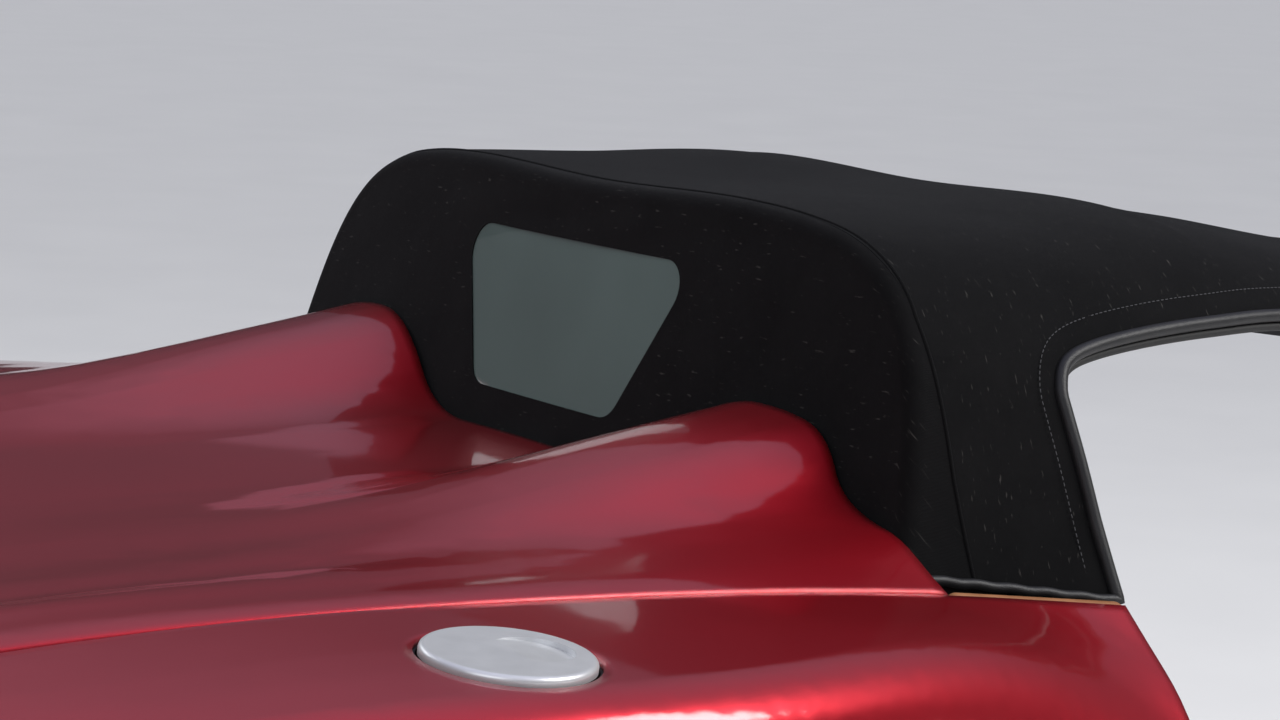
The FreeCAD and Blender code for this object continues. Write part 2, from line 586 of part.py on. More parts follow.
def filler():
    """Filler bowl with its capped neck, and the round flap on its goose neck hinge."""
    base = filler_placement()
    depth, wall = size("filler_depth"), size("filler_wall")
    cup_radius = size("filler_hole_radius") - size("seat_gap")
    hinge = Vector(-size("flap_hinge_back"), 0, -size("flap_hinge_down"))
    half = size("pocket_half")
    pocket_rear = hinge.x - half
    pocket_height = depth - size("pocket_down")
    floor = Vector(0, 0, -depth)
    cup = Part.makeCylinder(cup_radius, depth - size("skin_wall"), floor)
    cup = cup.fuse(Part.makeBox(-size("filler_radius") - pocket_rear, 2 * half, pocket_height,
                                Vector(pocket_rear, -half, -depth)))
    hollow = Part.makeCylinder(cup_radius - wall, depth, floor + Vector(0, 0, wall))
    hollow = hollow.fuse(Part.makeBox(-pocket_rear - half, 2 * (half - wall), pocket_height - 2 * wall,
                                      Vector(pocket_rear + wall, -half + wall, -depth + wall)))
    neck_height = depth / 2
    neck = Part.makeCylinder(size("neck_radius"), neck_height, floor + Vector(size("neck_ahead"), 0, 0))
    grip = Part.makeBox(size("grip_length"), size("grip_width"), size("grip_height"),
                        Vector(size("neck_ahead") - size("grip_length") / 2, -size("grip_width") / 2,
                               neck_height - depth))
    pin_hole = disc((hinge.x, hinge.z), size("flap_pin_radius") + size("pin_slack"), -half - 1, half + 1)
    item = solid("filler_bowl", cup.cut(hollow).fuse([neck, grip]).cut(pin_hole))
    item.Placement = base
    node(item, "filler_bowl")

    proud, thick = size("flap_proud"), size("flap_wall")
    cap = Part.makeCylinder(size("filler_radius"), thick, Vector(0, 0, proud - thick))
    rims = [edge for edge in cap.Edges if isinstance(edge.Curve, Part.Circle) and edge.CenterOfMass.z > 0]
    cap = cap.makeFillet(size("flap_rim_radius"), rims)
    scoop = Part.makeCylinder(size("scoop_radius"), 2 * thick)
    scoop.Placement = Placement(Vector(size("scoop_ahead"), 0, proud - size("scoop_depth") / 2),
                                Rotation(Vector(0, 1, 0), size("scoop_slope")))
    cap = cap.cut(scoop)
    bar, band, goose_back = size("goose_bar"), size("goose_band"), size("goose_back")
    low = -depth + wall + size("goose_floor_gap")
    leg = Part.makeBox(bar, band, proud - thick / 2 - low, Vector(-goose_back, -band / 2, low))
    foot = Part.makeBox(-goose_back + bar - hinge.x, band, bar, Vector(hinge.x, -band / 2, low))
    neck_arm = Part.makeBox(bar, band, hinge.z - low, Vector(hinge.x - bar / 2, -band / 2, low))
    eye = disc((hinge.x, hinge.z), size("flap_eye_radius"), -band / 2, band / 2)
    pin = disc((hinge.x, hinge.z), size("flap_pin_radius"), 0.5 - half, half - 0.5)
    flap = cap.fuse([leg, foot, neck_arm, eye, pin]).removeSplitter()
    item = solid("filler_flap", flap)
    item.Placement = base
    node(item, "filler_flap")


def link(points, radius, out, wall):
    """A flat link with round ends through points of the side view, centred on one plane."""
    shapes = []
    low = out - wall / 2
    for start, end in zip(points, points[1:]):
        run = Vector(end[0] - start[0], 0, end[1] - start[1])
        across_run = Vector(-run.z, 0, run.x).normalize() * radius
        first, last = Vector(start[0], low, start[1]), Vector(end[0], low, end[1])
        face = Part.Face(Part.makePolygon([first + across_run, last + across_run, last - across_run,
                                           first - across_run, first + across_run]))
        shapes.append(face.extrude(Vector(0, wall, 0)))
    for point in points:
        shapes.append(disc(point, radius, low, low + wall))
    return shapes[0].multiFuse(shapes[1:])


def disc(point, radius, low, high):
    """A round disc or pin across the car."""
    return Part.makeCylinder(radius, high - low, Vector(point[0], low, point[1]), Vector(0, 1, 0))


def flipped(shape, side):
    """The shape of the left side, mirrored for the right side."""
    return shape if side > 0 else shape.mirror(Vector(0, 0, 0), Vector(0, 1, 0))


def hood_links():
    """The folding frame: brackets, main arms, mid rails and front rails, each with its pins."""
    wall, half = size("link_wall"), size("link_height") / 2
    pin, slack = size("pin_radius"), size("pin_slack")
    pivot = (-size("pivot_back"), size("pivot_up"))
    elbow = (-size("elbow_back"), size("elbow_up"))
    knee = (size("knee_ahead"), size("knee_up"))
    knee_rail = (knee[0], knee[1] - size("knee_drop"))
    header = (size("header_ahead"), size("header_rail_up"))
    base_bow = (-size("base_bow_back"), size("base_bow_up"))
    bow_ear = (-size("rear_bow_back"), size("elbow_up") + size("bow_ear_rise"))
    arm_out, front_out, mid_out = size("arm_plane_out"), size("front_plane_out"), size("mid_plane_out")
    bracket_in = arm_out + wall / 2 + size("link_gap")
    bracket_out = bracket_in + size("bracket_wall")
    foot_width = size("well_half_width") - size("well_wall") - size("seat_gap") - bracket_in
    for name, side in SIDES:
        foot = Part.makeBox(size("bracket_length"), foot_width, size("bracket_foot"),
                            Vector(pivot[0] - size("bracket_length") / 2, bracket_in,
                                   size("well_floor_up") + size("seat_gap")))
        stem = link([(pivot[0], size("well_floor_up") + size("bracket_rise")), pivot], size("bracket_radius"),
                    (bracket_in + bracket_out) / 2, size("bracket_wall"))
        bracket = foot.fuse(stem).cut(disc(pivot, pin + slack, bracket_in - 1, bracket_out + 1))
        node(solid("pivot_bracket_" + name, flipped(bracket, side)), "pivot_bracket_" + name)

        arm = link([pivot, elbow], half + size("link_gap"), arm_out, wall)
        arm = arm.fuse([
            link([elbow, bow_ear], size("bow_ear_radius"), arm_out, wall),
            link([pivot, base_bow], size("bow_radius"), arm_out, wall),
            disc(pivot, size("eye_radius"), arm_out - wall / 2, arm_out + wall / 2),
            disc(pivot, pin, arm_out, bracket_out),
            disc(elbow, pin, mid_out - wall / 2, arm_out),
        ]).removeSplitter()
        node(solid("main_arm_" + name, flipped(arm, side)), "main_arm_" + name)

        rail = link([elbow, knee_rail], half, mid_out, wall).fuse([
            disc(elbow, size("eye_radius"), mid_out - wall / 2, mid_out + wall / 2),
            link([knee_rail, knee], size("knee_eye_radius"), mid_out, wall),
            disc(knee, size("knee_pin_radius"), mid_out, front_out + wall / 2),
        ]).removeSplitter().cut(disc(elbow, pin + slack, mid_out - wall, mid_out + wall / 2 + 1))
        node(solid("mid_rail_" + name, flipped(rail, side)), "mid_rail_" + name)

        bore = disc(knee, size("knee_pin_radius") + slack, front_out - wall, front_out + wall)
        rail = link([knee_rail, header], half, front_out, wall).fuse(
            link([knee_rail, knee], size("knee_eye_radius"), front_out, wall)
        ).removeSplitter().cut(bore)
        node(solid("front_rail_" + name, flipped(rail, side)), "front_rail_" + name)


def tube(place, nodes, radius):
    """A bent tube through nodes of one plane."""
    path = Part.Wire(chain(place, nodes))
    start = path.Edges[0].valueAt(path.Edges[0].FirstParameter)
    along = path.Edges[0].tangentAt(path.Edges[0].FirstParameter)
    ring = Part.Wire([Part.Circle(start, along, radius).toShape()])
    return path.makePipeShell([ring], True, False)


# Soft top sections. along, crown up, shoulder out, shoulder up, corner out, corner up, corner slope,
# hem out, hem up
ROOF_STATIONS = (
    (-240, 684, 418, 678, 547, 614, -48, 641, 358),
    (-150, 687, 418, 681, 549, 617, -48, 645, 354),
    (40, 688, 415, 682, 547, 619, -48, 668, 345),
    (240, 684, 410, 678, 544, 616, -48, 668, 340),
    (540, 642, 402, 636, 538, 576, -47, 655, 310),
    (830, 605, 390, 599, 529, 544, -46, 640, 290),
)


def roof_nodes(along):
    """Half section of the soft top at any place, by straight steps between the stations."""
    for first, last in zip(ROOF_STATIONS, ROOF_STATIONS[1:]):
        if along <= last[0]:
            part = (along - first[0]) / (last[0] - first[0])
            row = [a + (b - a) * part for a, b in zip(first, last)]
            break
    _, crown, shoulder_out, shoulder_up, corner_out, corner_up, corner_slope, hem_out, hem_up = row
    return [(0, crown, 0), (shoulder_out, shoulder_up, -9), (corner_out, corner_up, corner_slope),
            (hem_out, hem_up, -70)]


def hood_bows():
    """Rear, mid and base bows and the header rail."""
    radius = size("bow_radius")
    inside = size("cover_wall") + radius + size("bow_clearance")
    rear_end = size("arm_plane_out") - size("link_wall") / 2 - size("seat_gap") - size("rear_bow_end_in")
    for label, along, end in (
        ("rear_bow", -size("rear_bow_back"), (rear_end, size("elbow_up") + size("bow_ear_rise"), -66)),
        ("mid_bow", size("mid_bow_ahead"), (size("mid_plane_out"), size("mid_bow_end_up"), -86)),
    ):
        nodes = inset(roof_nodes(along)[:2], inside) + [end]
        node(solid(label, tube(across(along), mirrored(nodes), radius)), label)
    half = size("arm_plane_out") - size("link_wall") / 2 - size("seat_gap")
    base = disc((-size("base_bow_back"), size("base_bow_up")), radius, -half, half)
    node(solid("base_bow", base), "base_bow")

    depth = size("cover_wall") + size("seat_gap")
    sections = [wall_section(across(station[0]), mirrored(roof_nodes(station[0])), depth, size("header_wall"))
                for station in ROOF_STATIONS]
    inner = size("front_plane_out") - size("link_wall") / 2 - size("seat_gap")
    block = Part.makeBox(size("header_width"), 2 * inner, size("tool_reach"),
                         Vector(size("header_ahead") - size("header_width") / 2, -inner, size("valley_up")))
    node(solid("header_rail", Part.makeLoft(sections, True, False).common(block)), "header_rail")


def side_prism(edges):
    """A tool right across the car from closed edges of the side view."""
    width = size("tool_half_width")
    face = Part.Face(Part.Wire(edges))
    face.translate(Vector(0, -width, 0))
    return face.extrude(Vector(0, 2 * width, 0))


def side_view(along, up):
    """A point of the side view."""
    return Vector(along, 0, up)


def side_line(*points):
    """Straight edges of the side view."""
    return [Part.LineSegment(side_view(*first), side_view(*last)).toShape()
            for first, last in zip(points, points[1:])]


# Side opening of the soft top in the side view, from its rear foot over the door to the windscreen:
# along, up, heading in degrees
OPENING_NODES = ((27, 200, 91), (0, 470, 99), (-9, 535, 95), (56, 579, 10), (310, 596, -1), (860, 541, -7))
# Hem of the soft top on the waist: along, up
HEM_LINE = ((-400, 200), (-400, 386), (-200, 372), (30, 340), (30, 200), (-400, 200))


def panel_cylinder(radius):
    """The large leaning cylinder whose wall is the rear panel."""
    lean = math.radians(size("panel_lean"))
    bulge = size("panel_bulge_radius")
    axis = Vector(math.sin(lean), 0, math.cos(lean))
    ahead = Vector(math.cos(lean), 0, -math.sin(lean))
    reach = size("tool_reach")
    foot = Vector(-size("panel_foot_back"), 0, size("glass_low_up")) + ahead * bulge - axis * reach
    return Part.makeCylinder(radius, 2 * reach, foot, axis)


def window_prism(margin):
    """The window outline carried along the car, corners rounded."""
    low, high = size("glass_low_up") - margin, size("glass_high_up") + margin
    low_out, high_out = size("glass_low_out") + margin, size("glass_high_out") + margin
    back, length = -size("glass_tool_back"), size("glass_tool_length")
    points = [Vector(back, -low_out, low), Vector(back, low_out, low), Vector(back, high_out, high),
              Vector(back, -high_out, high)]
    prism = Part.Face(Part.makePolygon(points + points[:1])).extrude(Vector(length, 0, 0))
    edges = [edge for edge in prism.Edges if abs(edge.Length - length) < 1e-6]
    return prism.makeFillet(size("glass_corner_radius") + margin, edges)


def hood_cover():
    """Fabric of the soft top in its quarters, mid and front parts, the rear panel and its window."""
    wall, gap = size("cover_wall"), size("seat_gap")
    bulge = size("panel_bulge_radius")
    sections = [wall_section(across(station[0]), mirrored(roof_nodes(station[0])), 0, wall)
                for station in ROOF_STATIONS]
    cover = Part.makeLoft(sections, True, False)
    cover = cover.common(panel_cylinder(bulge - wall - gap))
    front, foot = OPENING_NODES[-1], OPENING_NODES[0]
    sill = side_line(front[:2], (front[0], foot[1]), foot[:2])
    opening = side_prism(chain(side_view, OPENING_NODES) + sill)
    cover = cover.cut([opening, side_prism(side_line(*HEM_LINE))])
    split, knee = size("cover_split_ahead"), size("knee_ahead")
    width, low = size("tool_half_width"), size("tool_low")
    for label, rear, front in (("hood_quarter", ROOF_STATIONS[0][0], split), ("hood_mid", split, knee),
                               ("hood_front", knee, ROOF_STATIONS[-1][0] + 1)):
        slab = Part.makeBox(front - rear - gap, 2 * width, size("tool_reach"), Vector(rear, -width, low))
        node(solid(label, cover.common(slab)), label)

    arch = inset(roof_nodes(-size("rear_bow_back")), wall + gap)
    low = arch[-1]
    back = -size("tool_reach")
    place = across(back)
    edges = chain(place, mirrored(arch))
    edges.append(Part.LineSegment(place(low[0], low[1]), place(-low[0], low[1])).toShape())
    prism = Part.Face(Part.Wire(edges)).extrude(Vector(-back, 0, 0))
    foot = size("base_bow_up") + size("bow_radius") + gap
    prism = prism.cut(Part.makeBox(-back, 2 * width, foot, Vector(back, -width, 0)))
    sheet_wall = panel_cylinder(bulge).cut(panel_cylinder(bulge - wall))
    panel = sheet_wall.common(prism).cut(window_prism(gap))
    node(solid("hood_rear_panel", panel), "hood_rear_panel")
    outer = bulge - size("glass_inset")
    glass = panel_cylinder(outer).cut(panel_cylinder(outer - size("glass_wall"))).common(window_prism(0))
    node(solid("rear_window", glass), "rear_window")


# Where the leather rolls begin and end, as shares of the way from the first to the third wing station
TRIM_SPAN = (0.02, 0.84)


def waist_trims():
    """Leather rolls along the inner edge of the wings beside the soft top."""
    radius = size("trim_radius")
    first, last = WING_STATIONS[0], WING_STATIONS[2]
    for name, side in SIDES:
        ends = []
        for part in TRIM_SPAN:
            row = [a + (b - a) * part for a, b in zip(first, last)]
            out = size("lid_half_width") + size("panel_gap") - row[1] - radius - size("trim_gap")
            ends.append(Vector(row[0], side * out, size("waist_up") + row[3] - radius + size("trim_proud")))
        run = ends[1] - ends[0]
        roll = Part.makeCylinder(radius, run.Length, ends[0], run)
        for end in ends:
            roll = roll.fuse(Part.makeSphere(radius, end))
        node(solid("waist_trim_" + name, roll.removeSplitter()), "waist_trim_" + name)


def hinge_brackets():
    """Brackets of the lid arms, standing on the boot floor above the chassis rails."""
    axis = (-size("hinge_back"), size("hinge_up"))
    floor = size("rail_top") + size("floor_wall") + size("seat_gap")
    wall = size("lid_arm_wall")
    low = size("lid_arm_out") + wall / 2 + size("hinge_gap")
    for name, side in SIDES:
        foot = Part.makeBox(size("hinge_foot_length"), size("hinge_foot_width"), size("bracket_foot"),
                            Vector(axis[0] - size("hinge_foot_length") / 2, low, floor))
        stem = link([(axis[0], floor + size("hinge_stem_rise")), axis], size("hinge_stem_radius"),
                    low + wall / 2, wall)
        pin = disc(axis, size("pin_radius"), size("lid_arm_out") - wall / 2, low + 1)
        node(solid("hinge_bracket_" + name, flipped(foot.fuse([stem, pin]).removeSplitter(), side)),
             "hinge_bracket_" + name)


rear_wings()
deck_lid()
lid_arms()
wing_tools = {name: solid("wing_tool_" + name, wing_tool(side)) for name, side in SIDES}
wheelhouses(wing_tools)
door_posts(wing_tools)
bulkhead()
understructure()
tail()
filler()
hood_links()
hood_bows()
hood_cover()
waist_trims()
hinge_brackets()


# Write every sub-part
def write_parts():
    """Check every object, then write each sub-part's solid."""
    doc.recompute()
    failed = [item.Label for item in doc.Objects if {"Invalid", "Error"} & set(item.State)]
    if failed:
        raise RuntimeError("objects failed: " + ", ".join(failed))
    for item in NODES:
        if item.Shape.isNull() or not item.Shape.isValid():
            raise RuntimeError("bad shape: " + item.Label)
    os.makedirs(OUT, exist_ok=True)
    for item in NODES:
        item.Shape.exportStep(os.path.join(OUT, item.Label + ".step"))
        box = item.Shape.BoundBox
        print("%-24s solids %d volume %9.0f x %7.1f %7.1f y %7.1f %7.1f z %7.1f %7.1f" % (
            item.Label, len(item.Shape.Solids), item.Shape.Volume,
            box.XMin, box.XMax, box.YMin, box.YMax, box.ZMin, box.ZMax))


write_parts()
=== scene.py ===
import math

import bmesh
import bpy
import numpy as np
from mathutils import Matrix, Vector


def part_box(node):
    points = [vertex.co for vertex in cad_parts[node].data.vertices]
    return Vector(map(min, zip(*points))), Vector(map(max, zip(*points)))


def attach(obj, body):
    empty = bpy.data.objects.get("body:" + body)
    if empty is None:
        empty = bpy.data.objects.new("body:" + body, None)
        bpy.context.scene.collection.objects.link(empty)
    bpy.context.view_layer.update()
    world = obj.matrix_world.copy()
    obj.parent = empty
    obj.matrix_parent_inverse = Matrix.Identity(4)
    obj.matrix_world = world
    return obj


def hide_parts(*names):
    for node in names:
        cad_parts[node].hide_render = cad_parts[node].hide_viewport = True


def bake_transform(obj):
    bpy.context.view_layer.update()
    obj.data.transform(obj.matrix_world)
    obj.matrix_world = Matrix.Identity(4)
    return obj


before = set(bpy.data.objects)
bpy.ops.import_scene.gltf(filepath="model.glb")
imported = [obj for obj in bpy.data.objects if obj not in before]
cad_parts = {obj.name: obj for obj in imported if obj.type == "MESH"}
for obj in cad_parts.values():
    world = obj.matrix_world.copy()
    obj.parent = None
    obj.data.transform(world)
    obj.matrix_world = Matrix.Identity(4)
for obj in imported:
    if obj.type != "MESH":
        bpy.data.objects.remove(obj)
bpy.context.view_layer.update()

# Metres. "along" is x, towards the windscreen, "out" is the distance from the middle plane and "up" is z
SIDES = (("right", -1), ("left", 1))


# Materials
UV_NAME = "UVMap"
BLACK, WHITE = (0, 0, 0), (1, 1, 1)


def fill(tree, item, inputs):
    """A node's inputs, each linked to a socket or set to a constant."""
    for key, value in inputs.items():
        if isinstance(value, bpy.types.NodeSocket):
            tree.links.new(value, item.inputs[key])
        else:
            item.inputs[key].default_value = value


def node_adder(tree):
    """A function that adds a node to a tree, with its settings and inputs."""
    def add(kind, inputs=None, **settings):
        item = tree.nodes.new("ShaderNode" + kind)
        for key, value in settings.items():
            setattr(item, key, value)
        fill(tree, item, inputs or {})
        return item

    return add


def new_material(name):
    """A material, a function that adds nodes and one that fills its Principled shader."""
    mat = bpy.data.materials.new(name)
    mat.use_nodes = True
    tree = mat.node_tree
    shader = tree.nodes["Principled BSDF"]
    return mat, node_adder(tree), lambda inputs: fill(tree, shader, inputs)


def ramp(add, source, stops):
    """A colour ramp on a factor socket."""
    item = add("ValToRGB", {"Fac": source})
    elements = item.color_ramp.elements
    while len(elements) < len(stops):
        elements.new(0.5)
    for element, (place, colour) in zip(elements, stops):
        element.position = place
        element.color = (*colour, 1)
    return item.outputs["Color"]


def bump(add, height, strength, distance, base=None):
    """A normal raised by a height, over another normal where one is given."""
    inputs = {"Strength": strength, "Distance": distance, "Height": height}
    if base is not None:
        inputs["Normal"] = base
    return add("Bump", inputs).outputs["Normal"]


def paint_material():
    """Candy red metallic paint under a clear coat."""
    mat, add, shade = new_material("body_paint")
    coord = add("TexCoord").outputs["Object"]
    flake = add("TexVoronoi", {"Vector": coord, "Scale": 1400.0})
    soft = add("TexNoise", {"Vector": coord, "Scale": 3.0, "Detail": 3.0})
    tone = ramp(add, soft.outputs["Fac"], ((0.3, (0.50, 0.005, 0.016)), (0.7, (0.57, 0.007, 0.021))))
    spark = ramp(add, flake.outputs["Distance"],
                 ((0.0, (1.0, 0.55, 0.5)), (0.25, (0.95, 0.9, 0.9)), (0.6, (0.8, 0.8, 0.8))))
    mixed = add("Mix", {"Factor": 0.55, "A": tone, "B": spark}, data_type="RGBA", blend_type="MULTIPLY")
    rounded = add("Bevel", {"Radius": 0.014}, samples=8).outputs["Normal"]
    peel = add("TexNoise", {"Vector": coord, "Scale": 160.0, "Detail": 1.0})
    shade({
        "Base Color": mixed.outputs["Result"], "Metallic": 0.72, "Roughness": 0.33,
        "Normal": bump(add, flake.outputs["Color"], 0.12, 0.0004, rounded),
        "Coat Weight": 1.0, "Coat Roughness": 0.06, "Coat IOR": 1.55,
        "Coat Normal": bump(add, peel.outputs["Fac"], 0.02, 0.0004, rounded),
    })
    return mat


def canvas_material():
    """Black mohair canvas with a fine weave, lint and dust."""
    mat, add, shade = new_material("hood_canvas")
    uv = add("UVMap", uv_map=UV_NAME).outputs["UV"]
    thread = {"Vector": uv, "Scale": 340.0, "Distortion": 0.6, "Detail": 1.0}
    threads = [add("TexWave", thread, bands_direction=axis) for axis in "XY"]
    weave = add("Math", {i: item.outputs["Fac"] for i, item in enumerate(threads)}, operation="MULTIPLY")
    cloud = add("TexNoise", {"Vector": uv, "Scale": 9.0, "Detail": 8.0, "Roughness": 0.7})
    tone = ramp(add, cloud.outputs["Fac"],
                ((0.25, (0.0022, 0.0022, 0.0025)), (0.8, (0.0060, 0.0058, 0.0062))))
    drawn = add("Mapping", {"Vector": uv, "Scale": (260.0, 60.0, 1.0), "Rotation": (0, 0, 0.7)})
    hairs = add("TexNoise", {"Vector": drawn.outputs["Vector"], "Scale": 1.0, "Detail": 2.0})
    specks = add("TexVoronoi", {"Vector": uv, "Scale": 46.0, "Randomness": 1.0})
    lint = add("Mix", {
        "Factor": 1.0,
        "A": ramp(add, hairs.outputs["Fac"], ((0.66, BLACK), (0.76, WHITE))),
        "B": ramp(add, specks.outputs["Distance"], ((0.0, WHITE), (0.040, BLACK))),
    }, data_type="RGBA", blend_type="LIGHTEN")
    amount = add("Math", {0: lint.outputs["Result"], 1: 0.20}, operation="MULTIPLY")
    dusty = {"Factor": amount.outputs["Value"], "A": tone, "B": (0.16, 0.15, 0.14, 1)}
    mixed = add("Mix", dusty, data_type="RGBA")
    fine = bump(add, weave.outputs["Value"], 0.5, 0.0004)
    crease = add("TexNoise", {"Vector": uv, "Scale": 14.0, "Detail": 4.0})
    shade({
        "Base Color": mixed.outputs["Result"], "Normal": bump(add, crease.outputs["Fac"], 0.25, 0.004, fine),
        "Roughness": 0.92, "Specular IOR Level": 0.10,
        "Sheen Weight": 0.03, "Sheen Roughness": 0.45, "Sheen Tint": (0.8, 0.82, 0.9, 1),
    })
    return mat


def plain_material(name, low, high, rough, scale, metallic=0.0, grain=0.1):
    """A surface with a mottled tone and a fine grain."""
    mat, add, shade = new_material(name)
    coord = add("TexCoord").outputs["Object"]
    noise = add("TexNoise", {"Vector": coord, "Scale": scale, "Detail": 6.0, "Roughness": 0.6}).outputs["Fac"]
    rough_map = add("MapRange", {"Value": noise, "To Min": rough * 0.85, "To Max": min(rough * 1.15, 1)})
    fine = add("TexNoise", {"Vector": coord, "Scale": scale * 12, "Detail": 3.0})
    shade({
        "Base Color": ramp(add, noise, ((0.3, low), (0.7, high))), "Roughness": rough_map.outputs["Result"],
        "Metallic": metallic, "Normal": bump(add, fine.outputs["Fac"], grain, 0.0005),
    })
    return mat


def leather_material(name, low, high):
    """Grained leather."""
    mat, add, shade = new_material(name)
    coord = add("TexCoord").outputs["Object"]
    cells = add("TexVoronoi", {"Vector": coord, "Scale": 420.0}, feature="DISTANCE_TO_EDGE")
    noise = add("TexNoise", {"Vector": coord, "Scale": 30.0, "Detail": 5.0})
    shade({
        "Base Color": ramp(add, noise.outputs["Fac"], ((0.3, low), (0.7, high))), "Roughness": 0.5,
        "Normal": bump(add, cells.outputs["Distance"], 0.5, 0.0006),
    })
    return mat


def glass_material(name, colour, alpha, rough):
    """Thin tinted pane."""
    mat, add, shade = new_material(name)
    coord = add("TexCoord").outputs["Object"]
    noise = add("TexNoise", {"Vector": coord, "Scale": 5.0, "Detail": 2.0}).outputs["Fac"]
    light = tuple(c * 1.25 for c in colour)
    shade({
        "Base Color": ramp(add, noise, ((0.2, colour), (0.8, light))), "Roughness": rough, "Alpha": alpha,
        "Specular IOR Level": 0.9, "Normal": bump(add, noise, 0.12, 0.003),
    })
    mat.surface_render_method = "BLENDED"
    return mat


PAINT = paint_material()
CANVAS = canvas_material()
BINDING = leather_material("binding_black", (0.005, 0.005, 0.006), (0.011, 0.011, 0.012))
TAN = leather_material("tan_leather", (0.26, 0.105, 0.04), (0.36, 0.16, 0.07))
THREAD = plain_material("thread", (0.030, 0.030, 0.033), (0.055, 0.055, 0.060), 0.8, 200.0)
UNDER = plain_material("underbody", (0.018, 0.018, 0.02), (0.035, 0.034, 0.034), 0.6, 12.0, grain=0.25)
FRAME = plain_material("frame_steel", (0.012, 0.012, 0.013), (0.022, 0.022, 0.024), 0.4, 25.0, metallic=0.4)
WELL = plain_material("well_plastic", (0.012, 0.012, 0.012), (0.022, 0.022, 0.022), 0.7, 60.0, grain=0.3)
SATIN = plain_material("satin_metal", (0.68, 0.69, 0.71), (0.75, 0.76, 0.78), 0.36, 30.0,
                       metallic=0.55, grain=0.03)
RUBBER = plain_material("seal_rubber", (0.008, 0.008, 0.008), (0.016, 0.016, 0.016), 0.65, 90.0)
CHROME = plain_material("bright_trim", (0.75, 0.76, 0.78), (0.82, 0.83, 0.85), 0.12, 20.0,
                        metallic=1.0, grain=0.01)
WINDOW = glass_material("window_pane", (0.085, 0.118, 0.112), 0.86, 0.03)
LENS = glass_material("lamp_lens", (0.17, 0.002, 0.003), 0.96, 0.06)

# Looks of the CAD nodes by the start of their names; the rest are underbody
CAD_LOOKS = (
    (PAINT, ("rear_wing", "deck_lid", "tail_lip", "tail_panel", "door_post")),
    (SATIN, ("filler_flap",)),
    (WELL, ("filler_bowl", "hood_well")),
    (LENS, ("tail_lamp",)),
    (TAN, ("waist_trim",)),
    (FRAME, ("pivot_bracket", "main_arm", "mid_rail", "front_rail", "header_rail",
             "rear_bow", "mid_bow", "base_bow")),
)
for label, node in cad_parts.items():
    looks = [look for look, starts in CAD_LOOKS if label.startswith(starts)]
    for material_slot in node.material_slots:
        material_slot.material = looks[0] if looks else UNDER


# Mesh helpers
EDGE_ANGLE = math.radians(50)
JOIN_DISTANCE = 1e-6


def mesh_object(name, points, faces, look, uv=None):
    """A smooth object from points and faces, with a UV map in metres where one is given."""
    mesh = bpy.data.meshes.new(name)
    mesh.from_pydata([tuple(p) for p in points], [], faces)
    mesh.update()
    if uv is not None:
        layer = mesh.uv_layers.new(name=UV_NAME)
        for loop in mesh.loops:
            layer.data[loop.index].uv = uv[loop.vertex_index]
    mesh.materials.append(look)
    for face in mesh.polygons:
        face.use_smooth = True
    item = bpy.data.objects.new(name, mesh)
    bpy.context.collection.objects.link(item)
    return item


def grid_faces(rows, columns, closed=False):
    """Faces of a grid of points given row by row; closed joins the ends of each row."""
    faces = []
    for i in range(rows - 1):
        here, there = i * columns, (i + 1) * columns
        for k in range(columns if closed else columns - 1):
            after = (k + 1) % columns
            faces.append((here + k, here + after, there + after, there + k))
    return faces


def merged(item, distance=JOIN_DISTANCE):
    """Close the seams between patches of one mesh."""
    work = bmesh.new()
    work.from_mesh(item.data)
    bmesh.ops.remove_doubles(work, verts=work.verts, dist=distance)
    bmesh.ops.recalc_face_normals(work, faces=work.faces)
    work.to_mesh(item.data)
    work.free()
    return item


def outward(item, centre):
    """Normals turned away from a point."""
    work = bmesh.new()
    work.from_mesh(item.data)
    total = sum((f.normal.dot(f.calc_center_median() - Vector(centre)) for f in work.faces), 0.0)
    if total < 0:
        bmesh.ops.reverse_faces(work, faces=work.faces)
    work.to_mesh(item.data)
    work.free()
    return item


def thickened(item, depth, offset, even):
    """A sheet given its thickness; offset -1 is all inward and 0 half to each side."""
    wall = item.modifiers.new("wall", "SOLIDIFY")
    wall.thickness = depth
    wall.offset = offset
    wall.use_even_offset = even
    mesh = bpy.data.meshes.new_from_object(item.evaluated_get(bpy.context.evaluated_depsgraph_get()))
    item.modifiers.clear()
    item.data = mesh
    return item


def solidified(item, depth):
    """A sheet thickened inward, with its cut edges sharp."""
    thickened(item, depth, -1, True)
    item.data.set_sharp_from_angle(angle=EDGE_ANGLE)


def tube(name, points, radius, look, sides=10):
    """A round cord, welt or roll along points."""
    pts = [Vector(p) for p in points]
    last = len(pts) - 1
    rings = []
    side = None
    for i, point in enumerate(pts):
        along = (pts[min(i + 1, last)] - pts[max(i - 1, 0)]).normalized()
        if side is None:
            side = along.orthogonal().normalized()
        side = (side - along * side.dot(along)).normalized()
        up = along.cross(side)
        for k in range(sides):
            turn = 2 * math.pi * k / sides
            rings.append(point + (side * math.cos(turn) + up * math.sin(turn)) * radius)
    faces = grid_faces(len(pts), sides, closed=True)
    faces.append(tuple(range(sides))[::-1])
    faces.append(tuple(last * sides + k for k in range(sides)))
    item = mesh_object(name, rings, faces, look)
    item.data.set_sharp_from_angle(angle=EDGE_ANGLE)
    return item


# Path helpers
PATH_PARTS, PATH_STEP = 16, 0.006


def lengths(points):
    """Distance along a polyline at each of its points."""
    return np.concatenate([[0], np.cumsum(np.linalg.norm(np.diff(points, axis=0), axis=1))])


def read_table(at, places, rows):
    """A table's rows read at one place or several."""
    return np.stack([np.interp(at, places, column) for column in np.transpose(rows)], axis=-1)


